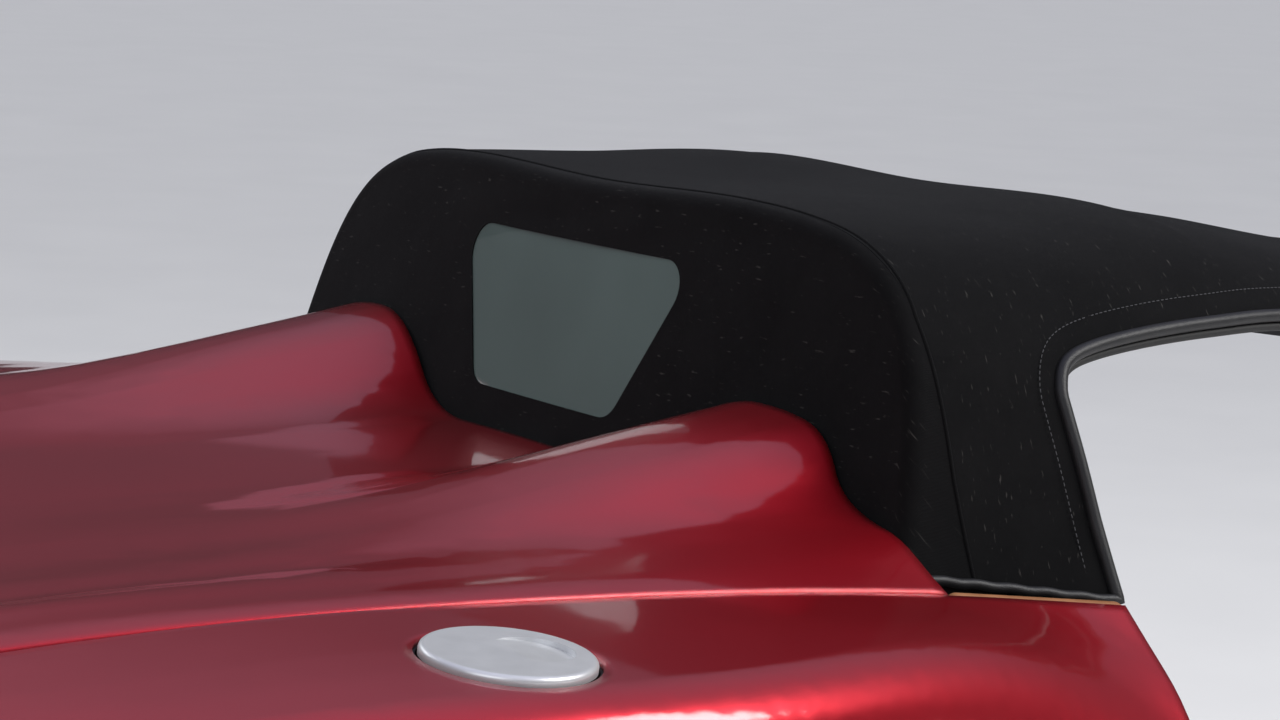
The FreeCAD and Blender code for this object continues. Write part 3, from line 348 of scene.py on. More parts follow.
def resampled(points, step):
    """Points along a polyline at equal steps."""
    reach = lengths(points)
    count = max(int(round(reach[-1] / step)), 2)
    return read_table(np.linspace(0, reach[-1], count + 1), reach, points)


def hermite(t, start, start_run, end, end_run):
    """A cubic from start to end with the runs that it leaves and arrives with."""
    return ((2 * t ** 3 - 3 * t ** 2 + 1) * start + (t ** 3 - 2 * t ** 2 + t) * start_run
            + (3 * t ** 2 - 2 * t ** 3) * end + (t ** 3 - t ** 2) * end_run)


def continued(points):
    """Points with one more at each end, in line with the two next to it."""
    return np.vstack([2 * points[0] - points[1], points, 2 * points[-1] - points[-2]])


def smooth_path(points, step):
    """A rounded path through a few points, at equal steps."""
    full = continued(np.array(points, float))
    parts = np.linspace(0, 1, PATH_PARTS, endpoint=False)
    out = []
    for a, b, c, d in zip(full, full[1:], full[2:], full[3:]):
        out += [hermite(t, b, (c - a) / 2, c, (d - b) / 2) for t in parts]
    return resampled(out + [full[-2]], step)


# Soft top sections: along, crown up, shoulder out and up, corner out and up, corner slope, hem out and up.
# Slopes are degrees, and SPLIT is where the rear sheet of canvas meets the front one.
ROOF = np.array([
    (-0.240, 0.684, 0.418, 0.678, 0.547, 0.614, -48, 0.645, 0.358),
    (-0.150, 0.687, 0.418, 0.681, 0.549, 0.617, -48, 0.649, 0.354),
    (0.040, 0.688, 0.415, 0.682, 0.547, 0.619, -48, 0.672, 0.345),
    (0.240, 0.684, 0.410, 0.678, 0.544, 0.616, -48, 0.672, 0.340),
    (0.540, 0.642, 0.402, 0.636, 0.538, 0.576, -47, 0.659, 0.310),
    (0.830, 0.605, 0.390, 0.599, 0.529, 0.544, -46, 0.644, 0.290),
])
SHOULDER_SLOPE, HEM_SLOPE = -9, -70
ROOF_FRONT = 0.828
SPLIT = 0.05

# Height of the lower edge by place along, and place along of the arch seam by height
HEM = ((-0.400, 0.386), (-0.200, 0.372), (0.030, 0.340))
SEAM_TOP = -0.156
SEAM = ((0.36, -0.137), (0.46, -0.149), (0.60, SEAM_TOP))


def roof_row(along):
    """The section's sizes at one place, eased between stations."""
    places = ROOF[:, 0]
    i = int(np.clip(np.searchsorted(places, along) - 1, 0, len(places) - 2))
    a, b, c, d = continued(ROOF)[i:i + 4]
    wide = c[0] - b[0]
    start_run, end_run = (c - a) / (c[0] - a[0]) * wide, (d - b) / (d[0] - b[0]) * wide
    return hermite((along - b[0]) / wide, b, start_run, c, end_run)[1:]


def heading(degrees):
    """Unit vector (out, up) of a heading; -90 runs down."""
    return np.array([math.cos(math.radians(degrees)), math.sin(math.radians(degrees))])


def roof_section(along, count=40):
    """Half section from the middle to the hem as (out, up) points."""
    crown, s_out, s_up, c_out, c_up, slope, h_out, h_up = roof_row(along)
    knots = [((0, crown), 0), ((s_out, s_up), SHOULDER_SLOPE),
             ((c_out, c_up), slope), ((h_out, h_up), HEM_SLOPE)]
    t = np.linspace(0, 1, count, endpoint=False)[:, None]
    parts = []
    for (p, leaving), (q, arriving) in zip(knots, knots[1:]):
        p, q = np.array(p), np.array(q)
        reach = np.linalg.norm(q - p)
        parts.append(hermite(t, p, heading(leaving) * reach, q, heading(arriving) * reach))
    return np.vstack([*parts, (h_out, h_up)])


def side_out(along, up):
    """How far out the soft top's side is at one place along and up."""
    section = roof_section(along)
    return float(np.interp(-up, -section[:, 1], section[:, 0]))


def side_normal(along, up):
    """Outward (out, up) normal of the soft top's side."""
    reach = 0.004
    run = np.array([side_out(along, up - reach) - side_out(along, up + reach), -2 * reach])
    return np.array([-run[1], run[0]]) / np.linalg.norm(run)


def hem_up(along):
    """Height of the soft top's lower edge."""
    return float(np.interp(along, *zip(*HEM)))


def seam_along(up):
    """Place along of the arch seam at a height."""
    return float(np.interp(up, *zip(*SEAM)))


# Opening of the side window: rear edge from the hem up, round the corner, then forward, as (along, up)
OPENING = (
    (0.017, 0.342), (0.0075, 0.410), (0.000, 0.468), (-0.0065, 0.518), (-0.0065, 0.541), (0.008, 0.5625),
    (SPLIT, 0.5755), (0.13, 0.586), (0.22, 0.592), (0.31, 0.594), (0.45, 0.587), (0.62, 0.568),
    (ROOF_FRONT, 0.543),
)
OPENING_CORNER_UP = 0.56
BORDER_BACK = (SEAM_TOP - 0.06, 0.574)


def split_index(along, up, above):
    """Index of the point nearest to the split, among those above a height."""
    return int(np.argmin(np.abs(along - SPLIT) + (up < above)))


EDGE = smooth_path(OPENING, PATH_STEP)
EDGE_SPLIT = split_index(EDGE[:, 0], EDGE[:, 1], OPENING_CORNER_UP)


def border_up(along):
    """Lower border of the top patch: the opening's edge, carried back to the seam."""
    if along >= SPLIT:
        part = EDGE[EDGE_SPLIT:]
        return float(np.interp(along, part[:, 0], part[:, 1]))
    return float(np.interp(along, (BORDER_BACK[0], SPLIT), (BORDER_BACK[1], EDGE[EDGE_SPLIT][1])))


# Canvas between its bows. Each span is its rear bow, its front bow and its slack, and the ridge lies over the
# middle bow.
CANVAS_DEPTH = 0.003
SPANS = ((-0.150, 0.222, 0.004), (0.222, 0.790, 0.007))
SLACK_HALF_WIDTH = 0.52
RIDGE_AT, RIDGE_SPREAD, RIDGE_RISE, RIDGE_HALF_WIDTH = 0.268, 0.012, 0.0022, 0.5
QUARTER_HOLLOW, HEM_FLARE, HEM_DROP = 0.004, 0.004, 0.004
FLARE_START = 0.75
SEAM_FOOT_UP = 0.363
QUARTER_UV_TOP = 1.22
PATCH_JOIN = 2e-5


def sag(along, out):
    """Slack of the canvas between its bows and its rise over the middle one."""
    ridge = RIDGE_RISE * math.exp(-((along - RIDGE_AT) / RIDGE_SPREAD) ** 2)
    value = ridge * max(0, 1 - (out / RIDGE_HALF_WIDTH) ** 6)
    for rear, front, slack in SPANS:
        if rear < along < front:
            t = (along - rear) / (front - rear)
            value -= slack * math.sin(math.pi * t) ** 2 * max(0, 1 - (out / SLACK_HALF_WIDTH) ** 4)
    return value


def top_grid(columns, rows=46):
    """Rows of (along, y, up, distance across) from the right border of the top to the left one."""
    grid = []
    for place in columns:
        section = roof_section(max(place, SEAM_TOP - 0.01))
        reach = lengths(section)
        limit = np.interp(-border_up(place), -section[:, 1], reach)
        half = []
        for at in limit * np.arange(rows + 1) / rows:
            out, up = read_table(at, reach, section)
            along = place
            if place < SPLIT:
                part = (SPLIT - place) / (SPLIT - SEAM_TOP)
                along = SPLIT - part * (SPLIT - seam_along(up))
            half.append((along, out, up + sag(along, out), at))
        grid.append([(a, -o, u, -s) for a, o, u, s in reversed(half[1:])] + half)
    return grid


def grid_mesh(grid):
    """Points, UVs and faces of a grid from top_grid."""
    points = [row[:3] for line in grid for row in line]
    uv = [(row[0], row[3]) for line in grid for row in line]
    return points, uv, grid_faces(len(grid), len(grid[0]))


def quarter_patch(side, border, rows=30):
    """One quarter below the top, from the border that they share down to the hem.

    s runs from the seam to the opening, t from the border to the hem. The border's shape fades out downward.
    """
    columns = len(border)
    front = EDGE[:EDGE_SPLIT + 1][::-1]
    runs = lengths(front)
    (first_along, _, first_up), (last_along, _, last_up) = border[0], border[-1]
    low_up = hem_up(seam_along(SEAM_FOOT_UP))
    points, uv = [], []
    for t in np.linspace(0, 1, rows + 1):
        front_along, front_up = read_table(t * runs[-1], runs, front)
        rear_up = first_up + (low_up - first_up) * t
        rear_along = seam_along(rear_up)
        for i, (top_along, top_y, top_up) in enumerate(border):
            s = i / (columns - 1)
            if t == 0:
                along, out, up = top_along, abs(top_y), top_up
            else:
                rise = top_up - first_up * (1 - s) - last_up * s
                shift = top_along - first_along * (1 - s) - last_along * s
                along = rear_along * (1 - s) + front_along * s + shift * (1 - t)
                up = rear_up * (1 - s) + front_up * s + rise * (1 - t) - HEM_DROP * math.sin(math.pi * s) * t
                out = side_out(along, up)
            hollow = QUARTER_HOLLOW * math.sin(math.pi * s) * math.sin(math.pi * t)
            flare = HEM_FLARE * s * max(0, t - FLARE_START) / (1 - FLARE_START)
            points.append((along, side * (out - hollow + flare), up))
            uv.append((along, side * (QUARTER_UV_TOP - up)))
    return points, uv, grid_faces(rows + 1, columns)


def rear_canopy():
    """The canvas behind the split: right quarter, top and left quarter in one sheet."""
    grid = top_grid(np.linspace(SEAM_TOP, SPLIT, 24))
    points, uv, faces = grid_mesh(grid)
    for (_, side), pick in zip(SIDES, (0, -1)):
        quarter_points, quarter_uv, quarter_faces = quarter_patch(side, [line[pick][:3] for line in grid])
        faces += [tuple(len(points) + k for k in face) for face in quarter_faces]
        points += quarter_points
        uv += quarter_uv
    return merged(mesh_object("canopy_rear", points, faces, CANVAS, uv), PATCH_JOIN)


def front_canopy():
    """The canvas from the split to the header."""
    points, uv, faces = grid_mesh(top_grid(np.linspace(SPLIT, ROOF_FRONT, 80)))
    return mesh_object("canopy_front", points, faces, CANVAS, uv)


CENTRE = (0.2, 0, 0.3)
canopy_rear = outward(rear_canopy(), CENTRE)
solidified(canopy_rear, CANVAS_DEPTH)
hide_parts("hood_quarter")

canopy_front = outward(front_canopy(), CENTRE)
solidified(canopy_front, CANVAS_DEPTH)
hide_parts("hood_mid", "hood_front")


# Rear panel: a face that leans forward and curves round the car, with a rounded edge and a wrap to the seam
PANEL_FOOT, PANEL_FOOT_UP = -0.235, 0.45
PANEL_LEAN = math.tan(math.radians(13))
PANEL_RADIUS = 5.85
PANEL_ROUND = 0.018
WINDOW_MIDDLE = np.array([0.0, 0.535])
WINDOW_CORNERS = ((-0.140, 0.450), (0.140, 0.450), (0.230, 0.622), (-0.230, 0.622))
WINDOW_ROUND = 0.030
ARCH_STEPS, FOOT_STEPS, FACE_RINGS, ROUND_RINGS, WRAP_RINGS = 220, 70, 26, 5, 7
RING_SPACING = 1.2
WRAP_LEAST, WRAP_UV_START = 0.002, 1.6 * PANEL_ROUND

# Waves of the face and folds at its lower corners; rates are radians a metre
BROAD_WAVE, FINE_WAVE = 0.0014, 0.0010
BROAD_RATE_OUT, BROAD_START, BROAD_RATE_UP, FINE_RATE_OUT, FINE_RATE_UP = 9, 1.2, 14, 23, 30
FOLD_OUT, FOLD_UP, FOLD_SPREAD, FOLD_DEPTH = 0.575, 0.425, 0.050, 0.0024
FOLD_RATE_OUT, FOLD_RATE_UP, FOLD_FADE = 95, 150, 0.10


def panel_along(out, up):
    """The rear panel's face."""
    return PANEL_FOOT + (up - PANEL_FOOT_UP) * PANEL_LEAN + out ** 2 / (2 * PANEL_RADIUS)


def panel_ripple(out, up, t):
    """How far the face's waves and folds stand off it; t runs from the window to the edge."""
    broad = BROAD_WAVE * math.sin(BROAD_RATE_OUT * out + BROAD_START) * math.sin(BROAD_RATE_UP * up)
    fine = FINE_WAVE * math.sin(FINE_RATE_OUT * out + FINE_RATE_UP * up)
    near = math.exp(-((abs(out) - FOLD_OUT) / FOLD_SPREAD) ** 2 - ((up - FOLD_UP) / FOLD_SPREAD) ** 2)
    fold = FOLD_DEPTH * math.sin(FOLD_RATE_UP * up + FOLD_RATE_OUT * abs(out))
    return (broad + fine) * math.sin(math.pi * t) ** 2 + fold * near * min(1, (1 - t) / FOLD_FADE)


def arch_at(along):
    """The section from the right hem over the top to the left hem, at equal steps."""
    section = roof_section(along, 160)
    low = hem_up(along)
    keep = section[section[:, 1] > low]
    half = np.vstack([keep, (np.interp(-low, -section[:, 1], section[:, 0]), low)])
    full = np.vstack([half[::-1] * (-1, 1), half[1:]])
    reach = lengths(full)
    return read_table(np.linspace(0, reach[-1], ARCH_STEPS + 1), reach, full)


def rounded_outline(corners, radius, steps=10):
    """A polygon with its corners rounded."""
    out = []
    count = len(corners)
    for i in range(count):
        before, here, after = (np.array(corners[k % count]) for k in (i - 1, i, i + 1))
        a, b = (before - here) / np.linalg.norm(before - here), (after - here) / np.linalg.norm(after - here)
        angle = math.acos(float(np.clip(a @ b, -1, 1)))
        cut = radius / math.tan(angle / 2)
        middle = here + (a + b) / np.linalg.norm(a + b) * radius / math.sin(angle / 2)
        first, last = here + a * cut - middle, here + b * cut - middle
        start = math.atan2(first[1], first[0])
        turn = (math.atan2(last[1], last[0]) - start + math.pi) % (2 * math.pi) - math.pi
        for k in range(steps + 1):
            t = start + turn * k / steps
            out.append(middle + radius * np.array([math.cos(t), math.sin(t)]))
    return np.array(out)


def ray_reach(outline, middle, ray):
    """Distance from the middle to a closed outline along a direction."""
    best, small = 0.0, 1e-9
    for p, q in zip(outline, np.roll(outline, -1, axis=0)):
        edge, start = q - p, p - middle
        cross = edge[0] * ray[1] - edge[1] * ray[0]
        if abs(cross) < 1e-12:
            continue
        t = (edge[0] * start[1] - edge[1] * start[0]) / cross
        k = (ray[0] * start[1] - ray[1] * start[0]) / cross
        if t > 0 and -small <= k <= 1 + small:
            best = max(best, t)
    return best


# The side surface near the panel, read at a few places along, and first guesses of where along it the face's
# rounded edge and the seam are
SIDE_PLACES = np.linspace(-0.24, -0.12, 13)
SIDES_AT = np.array([arch_at(along) for along in SIDE_PLACES])
EDGE_GUESS, SEAM_GUESS = -0.19, -0.14


def on_side(i, along):
    """Point (out, up) of the side surface on one line of the arch."""
    return read_table(along, SIDE_PLACES, SIDES_AT[:, i])


def arch_normal(i, along):
    """Outward (out, up) normal of the arch."""
    run = on_side(min(i + 1, ARCH_STEPS), along) - on_side(max(i - 1, 0), along)
    return np.array([-run[1], run[0]]) / np.linalg.norm(run)


def panel_edges():
    """Each line of the arch: where the face ends, and the rounded edge's place along and normal."""
    edges = []
    for i in range(ARCH_STEPS + 1):
        along = EDGE_GUESS
        for _ in range(2):
            normal = arch_normal(i, along)
            inset = on_side(i, along) - normal * PANEL_ROUND
            along = panel_along(*inset) + PANEL_ROUND
        edges.append((inset, along, normal))
    return edges


def face_line(window, target):
    """Points and UVs of the face from the window's edge to a target (out, up)."""
    ray = target - WINDOW_MIDDLE
    far = np.linalg.norm(ray)
    ray /= far
    near = ray_reach(window, WINDOW_MIDDLE, ray)
    points, uv = [], []
    for k in range(FACE_RINGS + 1):
        t = 1 - (1 - k / FACE_RINGS) ** RING_SPACING
        out, up = WINDOW_MIDDLE + ray * (near + (far - near) * t)
        points.append((panel_along(out, up) + panel_ripple(out, up, t), out, up))
        uv.append((up, out))
    return points, uv


def edge_line(i, inset, start, normal):
    """Points and UVs of the rounded edge and of the wrap along the side to the seam."""
    points, uv = [], []
    for k in range(1, ROUND_RINGS + 1):
        turn = math.pi / 2 * k / ROUND_RINGS
        out, up = inset + normal * PANEL_ROUND * math.sin(turn)
        points.append((start - PANEL_ROUND * math.cos(turn), out, up))
        uv.append((up + PANEL_ROUND * turn, out))
    goal = max(seam_along(on_side(i, SEAM_GUESS)[1]), start + WRAP_LEAST)
    for k in range(1, WRAP_RINGS + 1):
        along = start + (goal - start) * k / WRAP_RINGS
        out, up = on_side(i, along)
        points.append((along, out, up))
        uv.append((up + WRAP_UV_START + along - start, out))
    return points, uv


def panel_with_seam():
    """The rear panel, and the seam's points and normals at the end of its wrap."""
    window = rounded_outline(WINDOW_CORNERS, WINDOW_ROUND)
    edges = panel_edges()
    corner_right, corner_left = edges[0][0], edges[-1][0]
    foot = [corner_left + (corner_right - corner_left) * k / FOOT_STEPS for k in range(1, FOOT_STEPS)]
    targets = [inset for inset, _, _ in edges] + foot
    beyond = ROUND_RINGS + WRAP_RINGS
    points, uv, seam, normals = [], [], [], []
    for n, target in enumerate(targets):
        line, line_uv = face_line(window, target)
        if n <= ARCH_STEPS:
            more, more_uv = edge_line(n, *edges[n])
            seam.append(more[-1])
            normals.append((0, *arch_normal(n, more[-1][0])))
        else:
            more, more_uv = [line[-1]] * beyond, [line_uv[-1]] * beyond
        points += line + more
        uv += line_uv + more_uv
    width = len(points) // len(targets)
    faces = []
    for n in range(len(targets)):
        here, there = n * width, (n + 1) % len(targets) * width
        for k in range(width - 1 if n < ARCH_STEPS else FACE_RINGS):
            faces.append((here + k, there + k, there + k + 1, here + k + 1))
    return merged(mesh_object("rear_panel", points, faces, CANVAS, uv)), np.array(seam), np.array(normals)


rear_panel, seam_line, seam_normals = panel_with_seam()
outward(rear_panel, CENTRE)
solidified(rear_panel, CANVAS_DEPTH)
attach(rear_panel, "roof_main")
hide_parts("hood_rear_panel")

# Window pane, bonded behind the edge of its cut-out
PANE_LEVELS, PANE_OVERLAP, PANE_BEHIND, PANE_DEPTH = 14, 1.02, 0.0012, 0.002


def window_pane():
    """The pane as rings that grow from its middle."""
    loop = rounded_outline(WINDOW_CORNERS, WINDOW_ROUND, steps=12)
    faces = grid_faces(PANE_LEVELS + 1, len(loop), closed=True)
    points = []
    for k in range(PANE_LEVELS + 1):
        for corner in loop:
            out, up = WINDOW_MIDDLE + (corner - WINDOW_MIDDLE) * PANE_OVERLAP * k / PANE_LEVELS
            points.append((panel_along(out, up) + PANE_BEHIND, out, up))
    return merged(mesh_object("window_pane", points, faces, WINDOW))


pane = outward(window_pane(), CENTRE)
solidified(pane, PANE_DEPTH)
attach(pane, "roof_main")
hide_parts("rear_window")

# Arch seam: a narrow welt, set a little into the canvas
WELT_RADIUS, WELT_SINK = 0.0022, 0.0004
welt_path = resampled(seam_line - seam_normals * WELT_SINK, PATH_STEP)
seam_welt = tube("seam_welt", welt_path, WELT_RADIUS, CANVAS)
seam_welt.data.uv_layers.new(name=UV_NAME)
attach(seam_welt, "roof_main")

# Trim of the soft top: binding, rubber lip and stitches along the opening, and the rolled lower hem.
# LIP_START is how many points of the opening's edge the lip leaves free above the hem.
BINDING_SIDES, LIP_SIDES, HEM_SIDES = 14, 12, 12
BINDING_RADIUS, BINDING_INSET = 0.0068, 0.002
BINDING_FLARE_TOP, BINDING_FLARE_RUN = 0.42, 0.08
LIP_RADIUS, LIP_INSET, LIP_LIFT, LIP_START = 0.0046, -0.0045, -0.0085, 2
HEM_REAR, HEM_FLARE_START, HEM_FRONT, HEM_FLARE_RUN = -0.212, -0.137, 0.014, 0.154
HEM_RADIUS, HEM_PROUD, HEM_RAISE, HEM_WAVE, HEM_WAVE_RATE = 0.0052, 0.0015, 0.003, 0.0006, 170
STITCH_INSET, STITCH_LIFT, STITCH_LOW, STITCH_CORNER_UP = 0.027, 0.0004, 0.368, 0.58
STITCH_LENGTH, STITCH_PITCH, STITCH_RADIUS = 0.0042, 0.0062, 0.0006
# A stitch's rings: place as a share of its length, and share of its radius
STITCH_RINGS, STITCH_ARC = ((-0.5, 0.35), (-0.3, 1.0), (0.3, 1.0), (0.5, 0.35)), 5


def stitches(name, points, normals):
    """A row of short stitches lying on a surface."""
    verts, faces = [], []
    pts = resampled(points, STITCH_PITCH)
    for start, end in zip(pts, pts[1:]):
        centre = (start + end) / 2
        along = Vector(end - start).normalized()
        near = int(np.argmin(np.linalg.norm(points - centre, axis=1)))
        up = Vector(normals[near]).normalized()
        side = along.cross(up).normalized()
        faces += [tuple(len(verts) + k for k in face) for face in grid_faces(len(STITCH_RINGS), STITCH_ARC)]
        for part, share in STITCH_RINGS:
            for k in range(STITCH_ARC):
                turn = math.pi * k / (STITCH_ARC - 1)
                verts.append(Vector(centre) + along * part * STITCH_LENGTH
                             + (side * math.cos(turn) + up * math.sin(turn)) * STITCH_RADIUS * share)
    return mesh_object(name, verts, faces, THREAD)


def crossed(piece):
    """A piece of the soft top with its placement baked into its mesh."""
    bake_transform(piece)


def edge_points(side, inset, lift):
    """The opening's edge, set into the canvas and lifted off it, with its normals."""
    run = np.gradient(EDGE, axis=0)
    run /= np.linalg.norm(run, axis=1)[:, None]
    places = EDGE + inset * np.stack([-run[:, 1], run[:, 0]], axis=1)
    points, normals = [], []
    for along, up in places:
        normal_out, normal_up = side_normal(along, up)
        points.append((along, side * (side_out(along, up) + lift * normal_out), up + lift * normal_up))
        normals.append((0, side * normal_out, normal_up))
    return np.array(points), np.array(normals)


def hem_point(side, along):
    """A point of the rolled hem, which flares out towards the door."""
    up = hem_up(along)
    flare = HEM_FLARE * max(0, (along - HEM_FLARE_START) / HEM_FLARE_RUN)
    wave = HEM_WAVE * math.sin(along * HEM_WAVE_RATE)
    return along, side * (side_out(along, up) + HEM_PROUD + flare), up + HEM_RAISE + wave


def trim_side(name, side):
    """All the trim of one side."""
    edge, _ = edge_points(side, BINDING_INSET, 0.0)
    flare = np.clip((BINDING_FLARE_TOP - edge[:, 2]) / BINDING_FLARE_RUN, 0, 1)
    edge[:, 1] += side * HEM_FLARE * flare
    rear_edge, front_edge = edge[:EDGE_SPLIT + 1], edge[EDGE_SPLIT:]
    crossed(tube("binding_rear_" + name, rear_edge, BINDING_RADIUS, BINDING, BINDING_SIDES))
    crossed(tube("binding_front_" + name, front_edge, BINDING_RADIUS, BINDING, BINDING_SIDES))
    lip, _ = edge_points(side, LIP_INSET, LIP_LIFT)
    rear_lip, front_lip = lip[LIP_START:EDGE_SPLIT + 1], lip[EDGE_SPLIT:]
    crossed(tube("lip_rear_" + name, rear_lip, LIP_RADIUS, RUBBER, LIP_SIDES))
    crossed(tube("lip_front_" + name, front_lip, LIP_RADIUS, RUBBER, LIP_SIDES))
    row, normals = edge_points(side, STITCH_INSET, STITCH_LIFT)
    rear = np.arange(len(row)) <= split_index(row[:, 0], row[:, 2], STITCH_CORNER_UP)
    above_hem = row[:, 2] > STITCH_LOW
    crossed(stitches("stitches_rear_" + name, row[above_hem & rear], normals[above_hem & rear]))
    crossed(stitches("stitches_front_" + name, row[~rear], normals[~rear]))
    hem = [hem_point(side, along) for along in np.linspace(HEM_REAR, HEM_FRONT, 60)]
    crossed(tube("hem_" + name, hem, HEM_RADIUS, BINDING, HEM_SIDES))


for name, side in SIDES:
    trim_side(name, side)

crossed(canopy_rear)
crossed(canopy_front)


# Weather strips below the gaps round the deck lid and the soft top, set off from the wing's inner edge.
# The table is along, out and up of that edge.
WING_EDGE = np.array([
    (-1.290, 0.716, 0.388), (-1.190, 0.716, 0.397), (-1.000, 0.716, 0.407), (-0.737, 0.716, 0.406),
    (-0.450, 0.712, 0.394), (-0.236, 0.707, 0.376), (-0.118, 0.704, 0.362), (0.0, 0.702, 0.347),
])
STRIP_DEPTH = 0.0016
GUTTER = ((0.004, -0.007), (0.003, -0.020), (-0.004, -0.024), (-0.018, -0.024))
BULB_OUT, BULB_UP, BULB_RADIUS = -0.026, -0.0165, 0.0045
WAIST_LIP, WAIST_FOLD_OUT = 0.009, 0.684
GUTTER_PLACES, WAIST_PLACES = np.linspace(-0.225, -1.285, 120), np.linspace(-0.002, -0.215, 40)


def wing_edge(along):
    """Inner edge of the wing as (out, up)."""
    return read_table(along, WING_EDGE[:, 0], WING_EDGE[:, 1:])


def strip(name, side, places, profile):
    """A moulded rubber strip of one profile along the wing's edge."""
    lines = [[(along, side * out, up) for out, up in profile(along)] for along in places]
    faces = grid_faces(len(lines), len(lines[0]))
    item = mesh_object(name, [point for line in lines for point in line], faces, RUBBER)
    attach(thickened(item, STRIP_DEPTH, 0, False), "shell")


def gutter_profile(along):
    """A channel below the lid's gap with a soft bulb at its inner lip."""
    out, up = wing_edge(along)
    bulb = [(BULB_OUT + BULB_RADIUS * math.cos(turn), BULB_UP + BULB_RADIUS * math.sin(turn))
            for turn in np.linspace(-0.5 * math.pi, -1.9 * math.pi, 9)]
    return [(out + out_step, up + up_step) for out_step, up_step in (*GUTTER, *bulb)]


def waist_profile(along):
    """A flap from the wing's edge in to a lip behind the soft top's hem."""
    out, up = wing_edge(along)
    hem = hem_up(along)
    lip = side_out(along, hem) - WAIST_LIP
    return [(out - 0.001, up - 0.028), (WAIST_FOLD_OUT, min(up - 0.034, hem - 0.022)),
            (lip + 0.005, hem - 0.018), (lip, hem - 0.006), (lip - 0.001, hem + 0.012)]


for name, side in SIDES:
    strip("lid_gutter_" + name, side, GUTTER_PLACES, gutter_profile)
    strip("waist_seal_" + name, side, WAIST_PLACES, waist_profile)


# Tail lamps: a ribbed lens in a bright bezel. Profiles run from the lamp's rear face forward.
LENS_INSET, LENS_FRONT, LENS_CROWN, LENS_BACK = 0.008, 0.0008, 0.007, 0.018
LENS_STEPS, RIB_STEPS, RIB_DEPTH = 48, 4, 0.0007
BEZEL = ((0.0085, 0.020), (0.0085, 0.006), (0.0075, 0.003), (0.0050, 0.0015), (0.0022, 0.002),
         (0.0006, 0.0045), (0.0003, 0.010), (0.0003, 0.040))
AXIS_RADIUS, LAMP_MIDDLE = 1e-4, 0.03


def turned(name, profile, centre, look, sides=72):
    """A body of revolution about the lengthwise axis; profile is (radius, along)."""
    points = []
    for radius, along in profile:
        for k in range(sides):
            turn = 2 * math.pi * k / sides
            points.append(centre + Vector((along, radius * math.cos(turn), radius * math.sin(turn))))
    item = mesh_object(name, points, grid_faces(len(profile), sides, closed=True), look)
    return outward(merged(item), centre + Vector((LAMP_MIDDLE, 0, 0)))


def tail_lamp(name):
    """Lens and bezel in the place of one CAD lamp."""
    low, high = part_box("tail_lamp_" + name)
    centre = Vector((low[0], (low[1] + high[1]) / 2, (low[2] + high[2]) / 2))
    reach = (high[1] - low[1]) / 2
    dome = [(AXIS_RADIUS, LENS_FRONT)]
    for k in range(1, LENS_STEPS + 1):
        radius = (reach - LENS_INSET) * k / LENS_STEPS
        rib = RIB_DEPTH * (1 - math.cos(2 * math.pi * k / RIB_STEPS)) / 2
        dome.append((radius, LENS_FRONT + LENS_CROWN * (radius / reach) ** 2 + rib))
    dome += [(reach - LENS_INSET, LENS_BACK), (AXIS_RADIUS, LENS_BACK)]
    ring = [(reach - inset, along) for inset, along in BEZEL] + [(AXIS_RADIUS, BEZEL[-1][1])]
    lens = turned("lamp_lens_" + name, dome, centre, LENS)
    bezel = turned("lamp_bezel_" + name, ring, centre, CHROME)
    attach(lens, "shell")
    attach(bezel, "shell")
    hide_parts("tail_lamp_" + name)


for name, _ in SIDES:
    tail_lamp(name)


# Stage, lights and camera
FLOOR_UP, FLOOR_HALF = -0.345, 60
SKY = (
    (0.0, (0.03, 0.03, 0.034)), (0.30, (0.07, 0.07, 0.09)),
    (0.70, (0.30, 0.31, 0.42)), (1.0, (0.55, 0.57, 0.80)),
)
CAMERA_PLACE = (-2.17, -3.18, 1.008)
SENSOR_MM, FOCAL_MM = 36, 98.4
YAW, PITCH, ROLL = math.radians(33), math.radians(7.8), math.radians(2.5)


def area_light(name, place, target, size, power, colour):
    """A soft box aimed at a point."""
    data = bpy.data.lights.new(name, "AREA")
    data.shape = "RECTANGLE"
    data.size, data.size_y = size
    data.energy = power
    data.color = colour
    item = bpy.data.objects.new(name, data)
    bpy.context.collection.objects.link(item)
    item.location = place
    item.rotation_euler = (Vector(target) - Vector(place)).to_track_quat("-Z", "Y").to_euler()


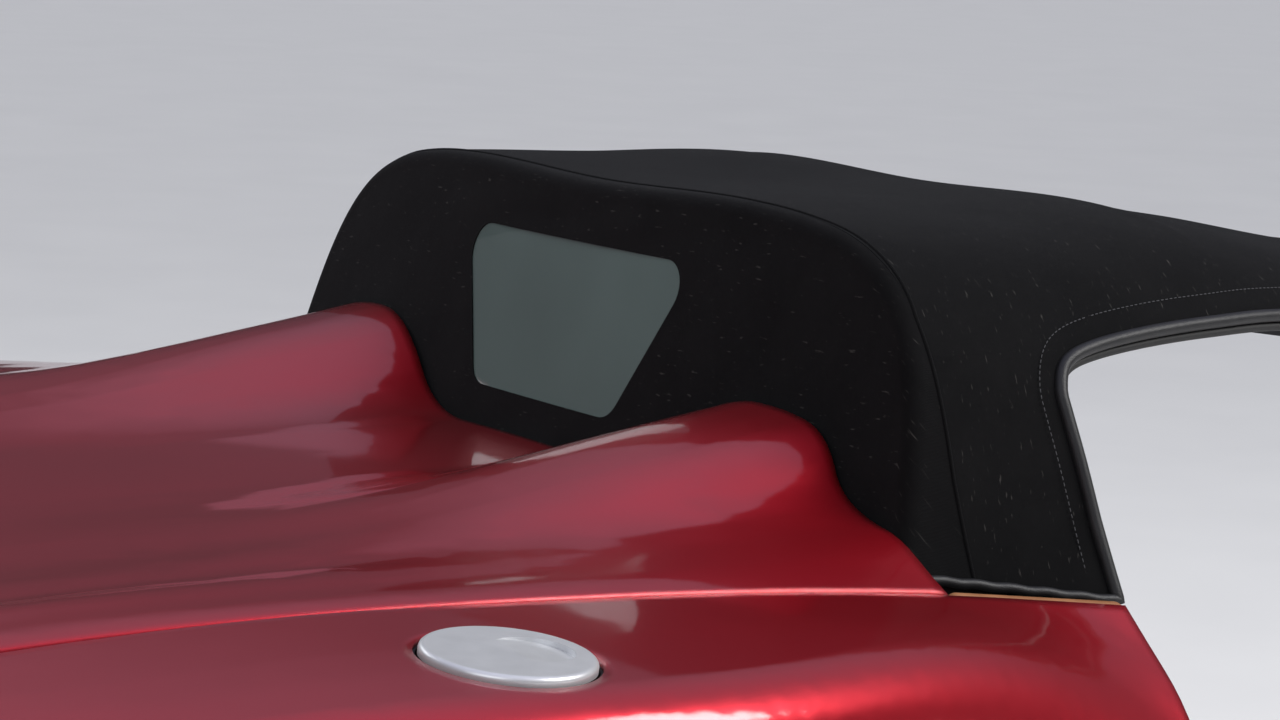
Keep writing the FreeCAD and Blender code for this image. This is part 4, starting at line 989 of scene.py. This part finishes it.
def studio_world():
    """Pale even light; mirror rays see a darker graded sky, and the camera a pale backdrop."""
    world = bpy.data.worlds.new("studio")
    world.use_nodes = True
    tree = world.node_tree
    add = node_adder(tree)
    diffuse = tree.nodes["Background"]
    fill(tree, diffuse, {"Color": (0.95, 0.96, 1.0, 1), "Strength": 0.70})
    height = add("SeparateXYZ", {"Vector": add("TexCoord").outputs["Generated"]})
    sky = add("Background", {"Color": ramp(add, height.outputs["Z"], SKY)})
    backdrop = add("Background", {"Color": (0.90, 0.91, 0.93, 1)})
    rays = add("LightPath")
    lit = add("MixShader", {"Fac": rays.outputs["Is Glossy Ray"], 1: diffuse.outputs["Background"],
                            2: sky.outputs["Background"]})
    seen = add("MixShader", {"Fac": rays.outputs["Is Camera Ray"], 1: lit.outputs["Shader"],
                             2: backdrop.outputs["Background"]})
    fill(tree, tree.nodes["World Output"], {"Surface": seen.outputs["Shader"]})
    return world


def photo_camera():
    """The camera of the photo: turned right by the yaw, down by the pitch and rolled."""
    ahead = Vector((math.sin(YAW) * math.cos(PITCH), math.cos(YAW) * math.cos(PITCH), -math.sin(PITCH)))
    right = Vector((math.cos(YAW), -math.sin(YAW), 0))
    up = right.cross(ahead)
    right_rolled = math.cos(ROLL) * right + math.sin(ROLL) * up
    up_rolled = -math.sin(ROLL) * right + math.cos(ROLL) * up
    data = bpy.data.cameras.new("camera")
    data.sensor_width = SENSOR_MM
    data.lens = FOCAL_MM
    item = bpy.data.objects.new("camera", data)
    bpy.context.collection.objects.link(item)
    turn = Matrix((right_rolled, up_rolled, -ahead)).transposed().to_4x4()
    item.matrix_world = Matrix.Translation(CAMERA_PLACE) @ turn
    return item


floor_corners = [(x * FLOOR_HALF, y * FLOOR_HALF, FLOOR_UP) for x, y in ((-1, -1), (1, -1), (1, 1), (-1, 1))]
floor_look = plain_material("floor", (0.78, 0.78, 0.79), (0.80, 0.80, 0.81), 0.7, 2.0)
mesh_object("floor", floor_corners, [(0, 1, 2, 3)], floor_look)
area_light("key", place=(2.6, -3.0, 3.4), target=(-0.3, -0.1, 0.4), size=(2.4, 1.8), power=165,
           colour=(1, 0.985, 0.96))
area_light("fill", place=(-3.2, -2.6, 2.4), target=(-0.4, 0, 0.3), size=(2.5, 2.0), power=26,
           colour=(0.94, 0.97, 1))
area_light("rim", place=(-1.5, 4.0, 2.8), target=(-0.3, 0, 0.4), size=(3.0, 1.4), power=34,
           colour=(0.95, 0.97, 1))
bpy.context.scene.world = studio_world()
bpy.context.scene.camera = photo_camera()
bpy.context.scene.view_settings.view_transform = "Standard"
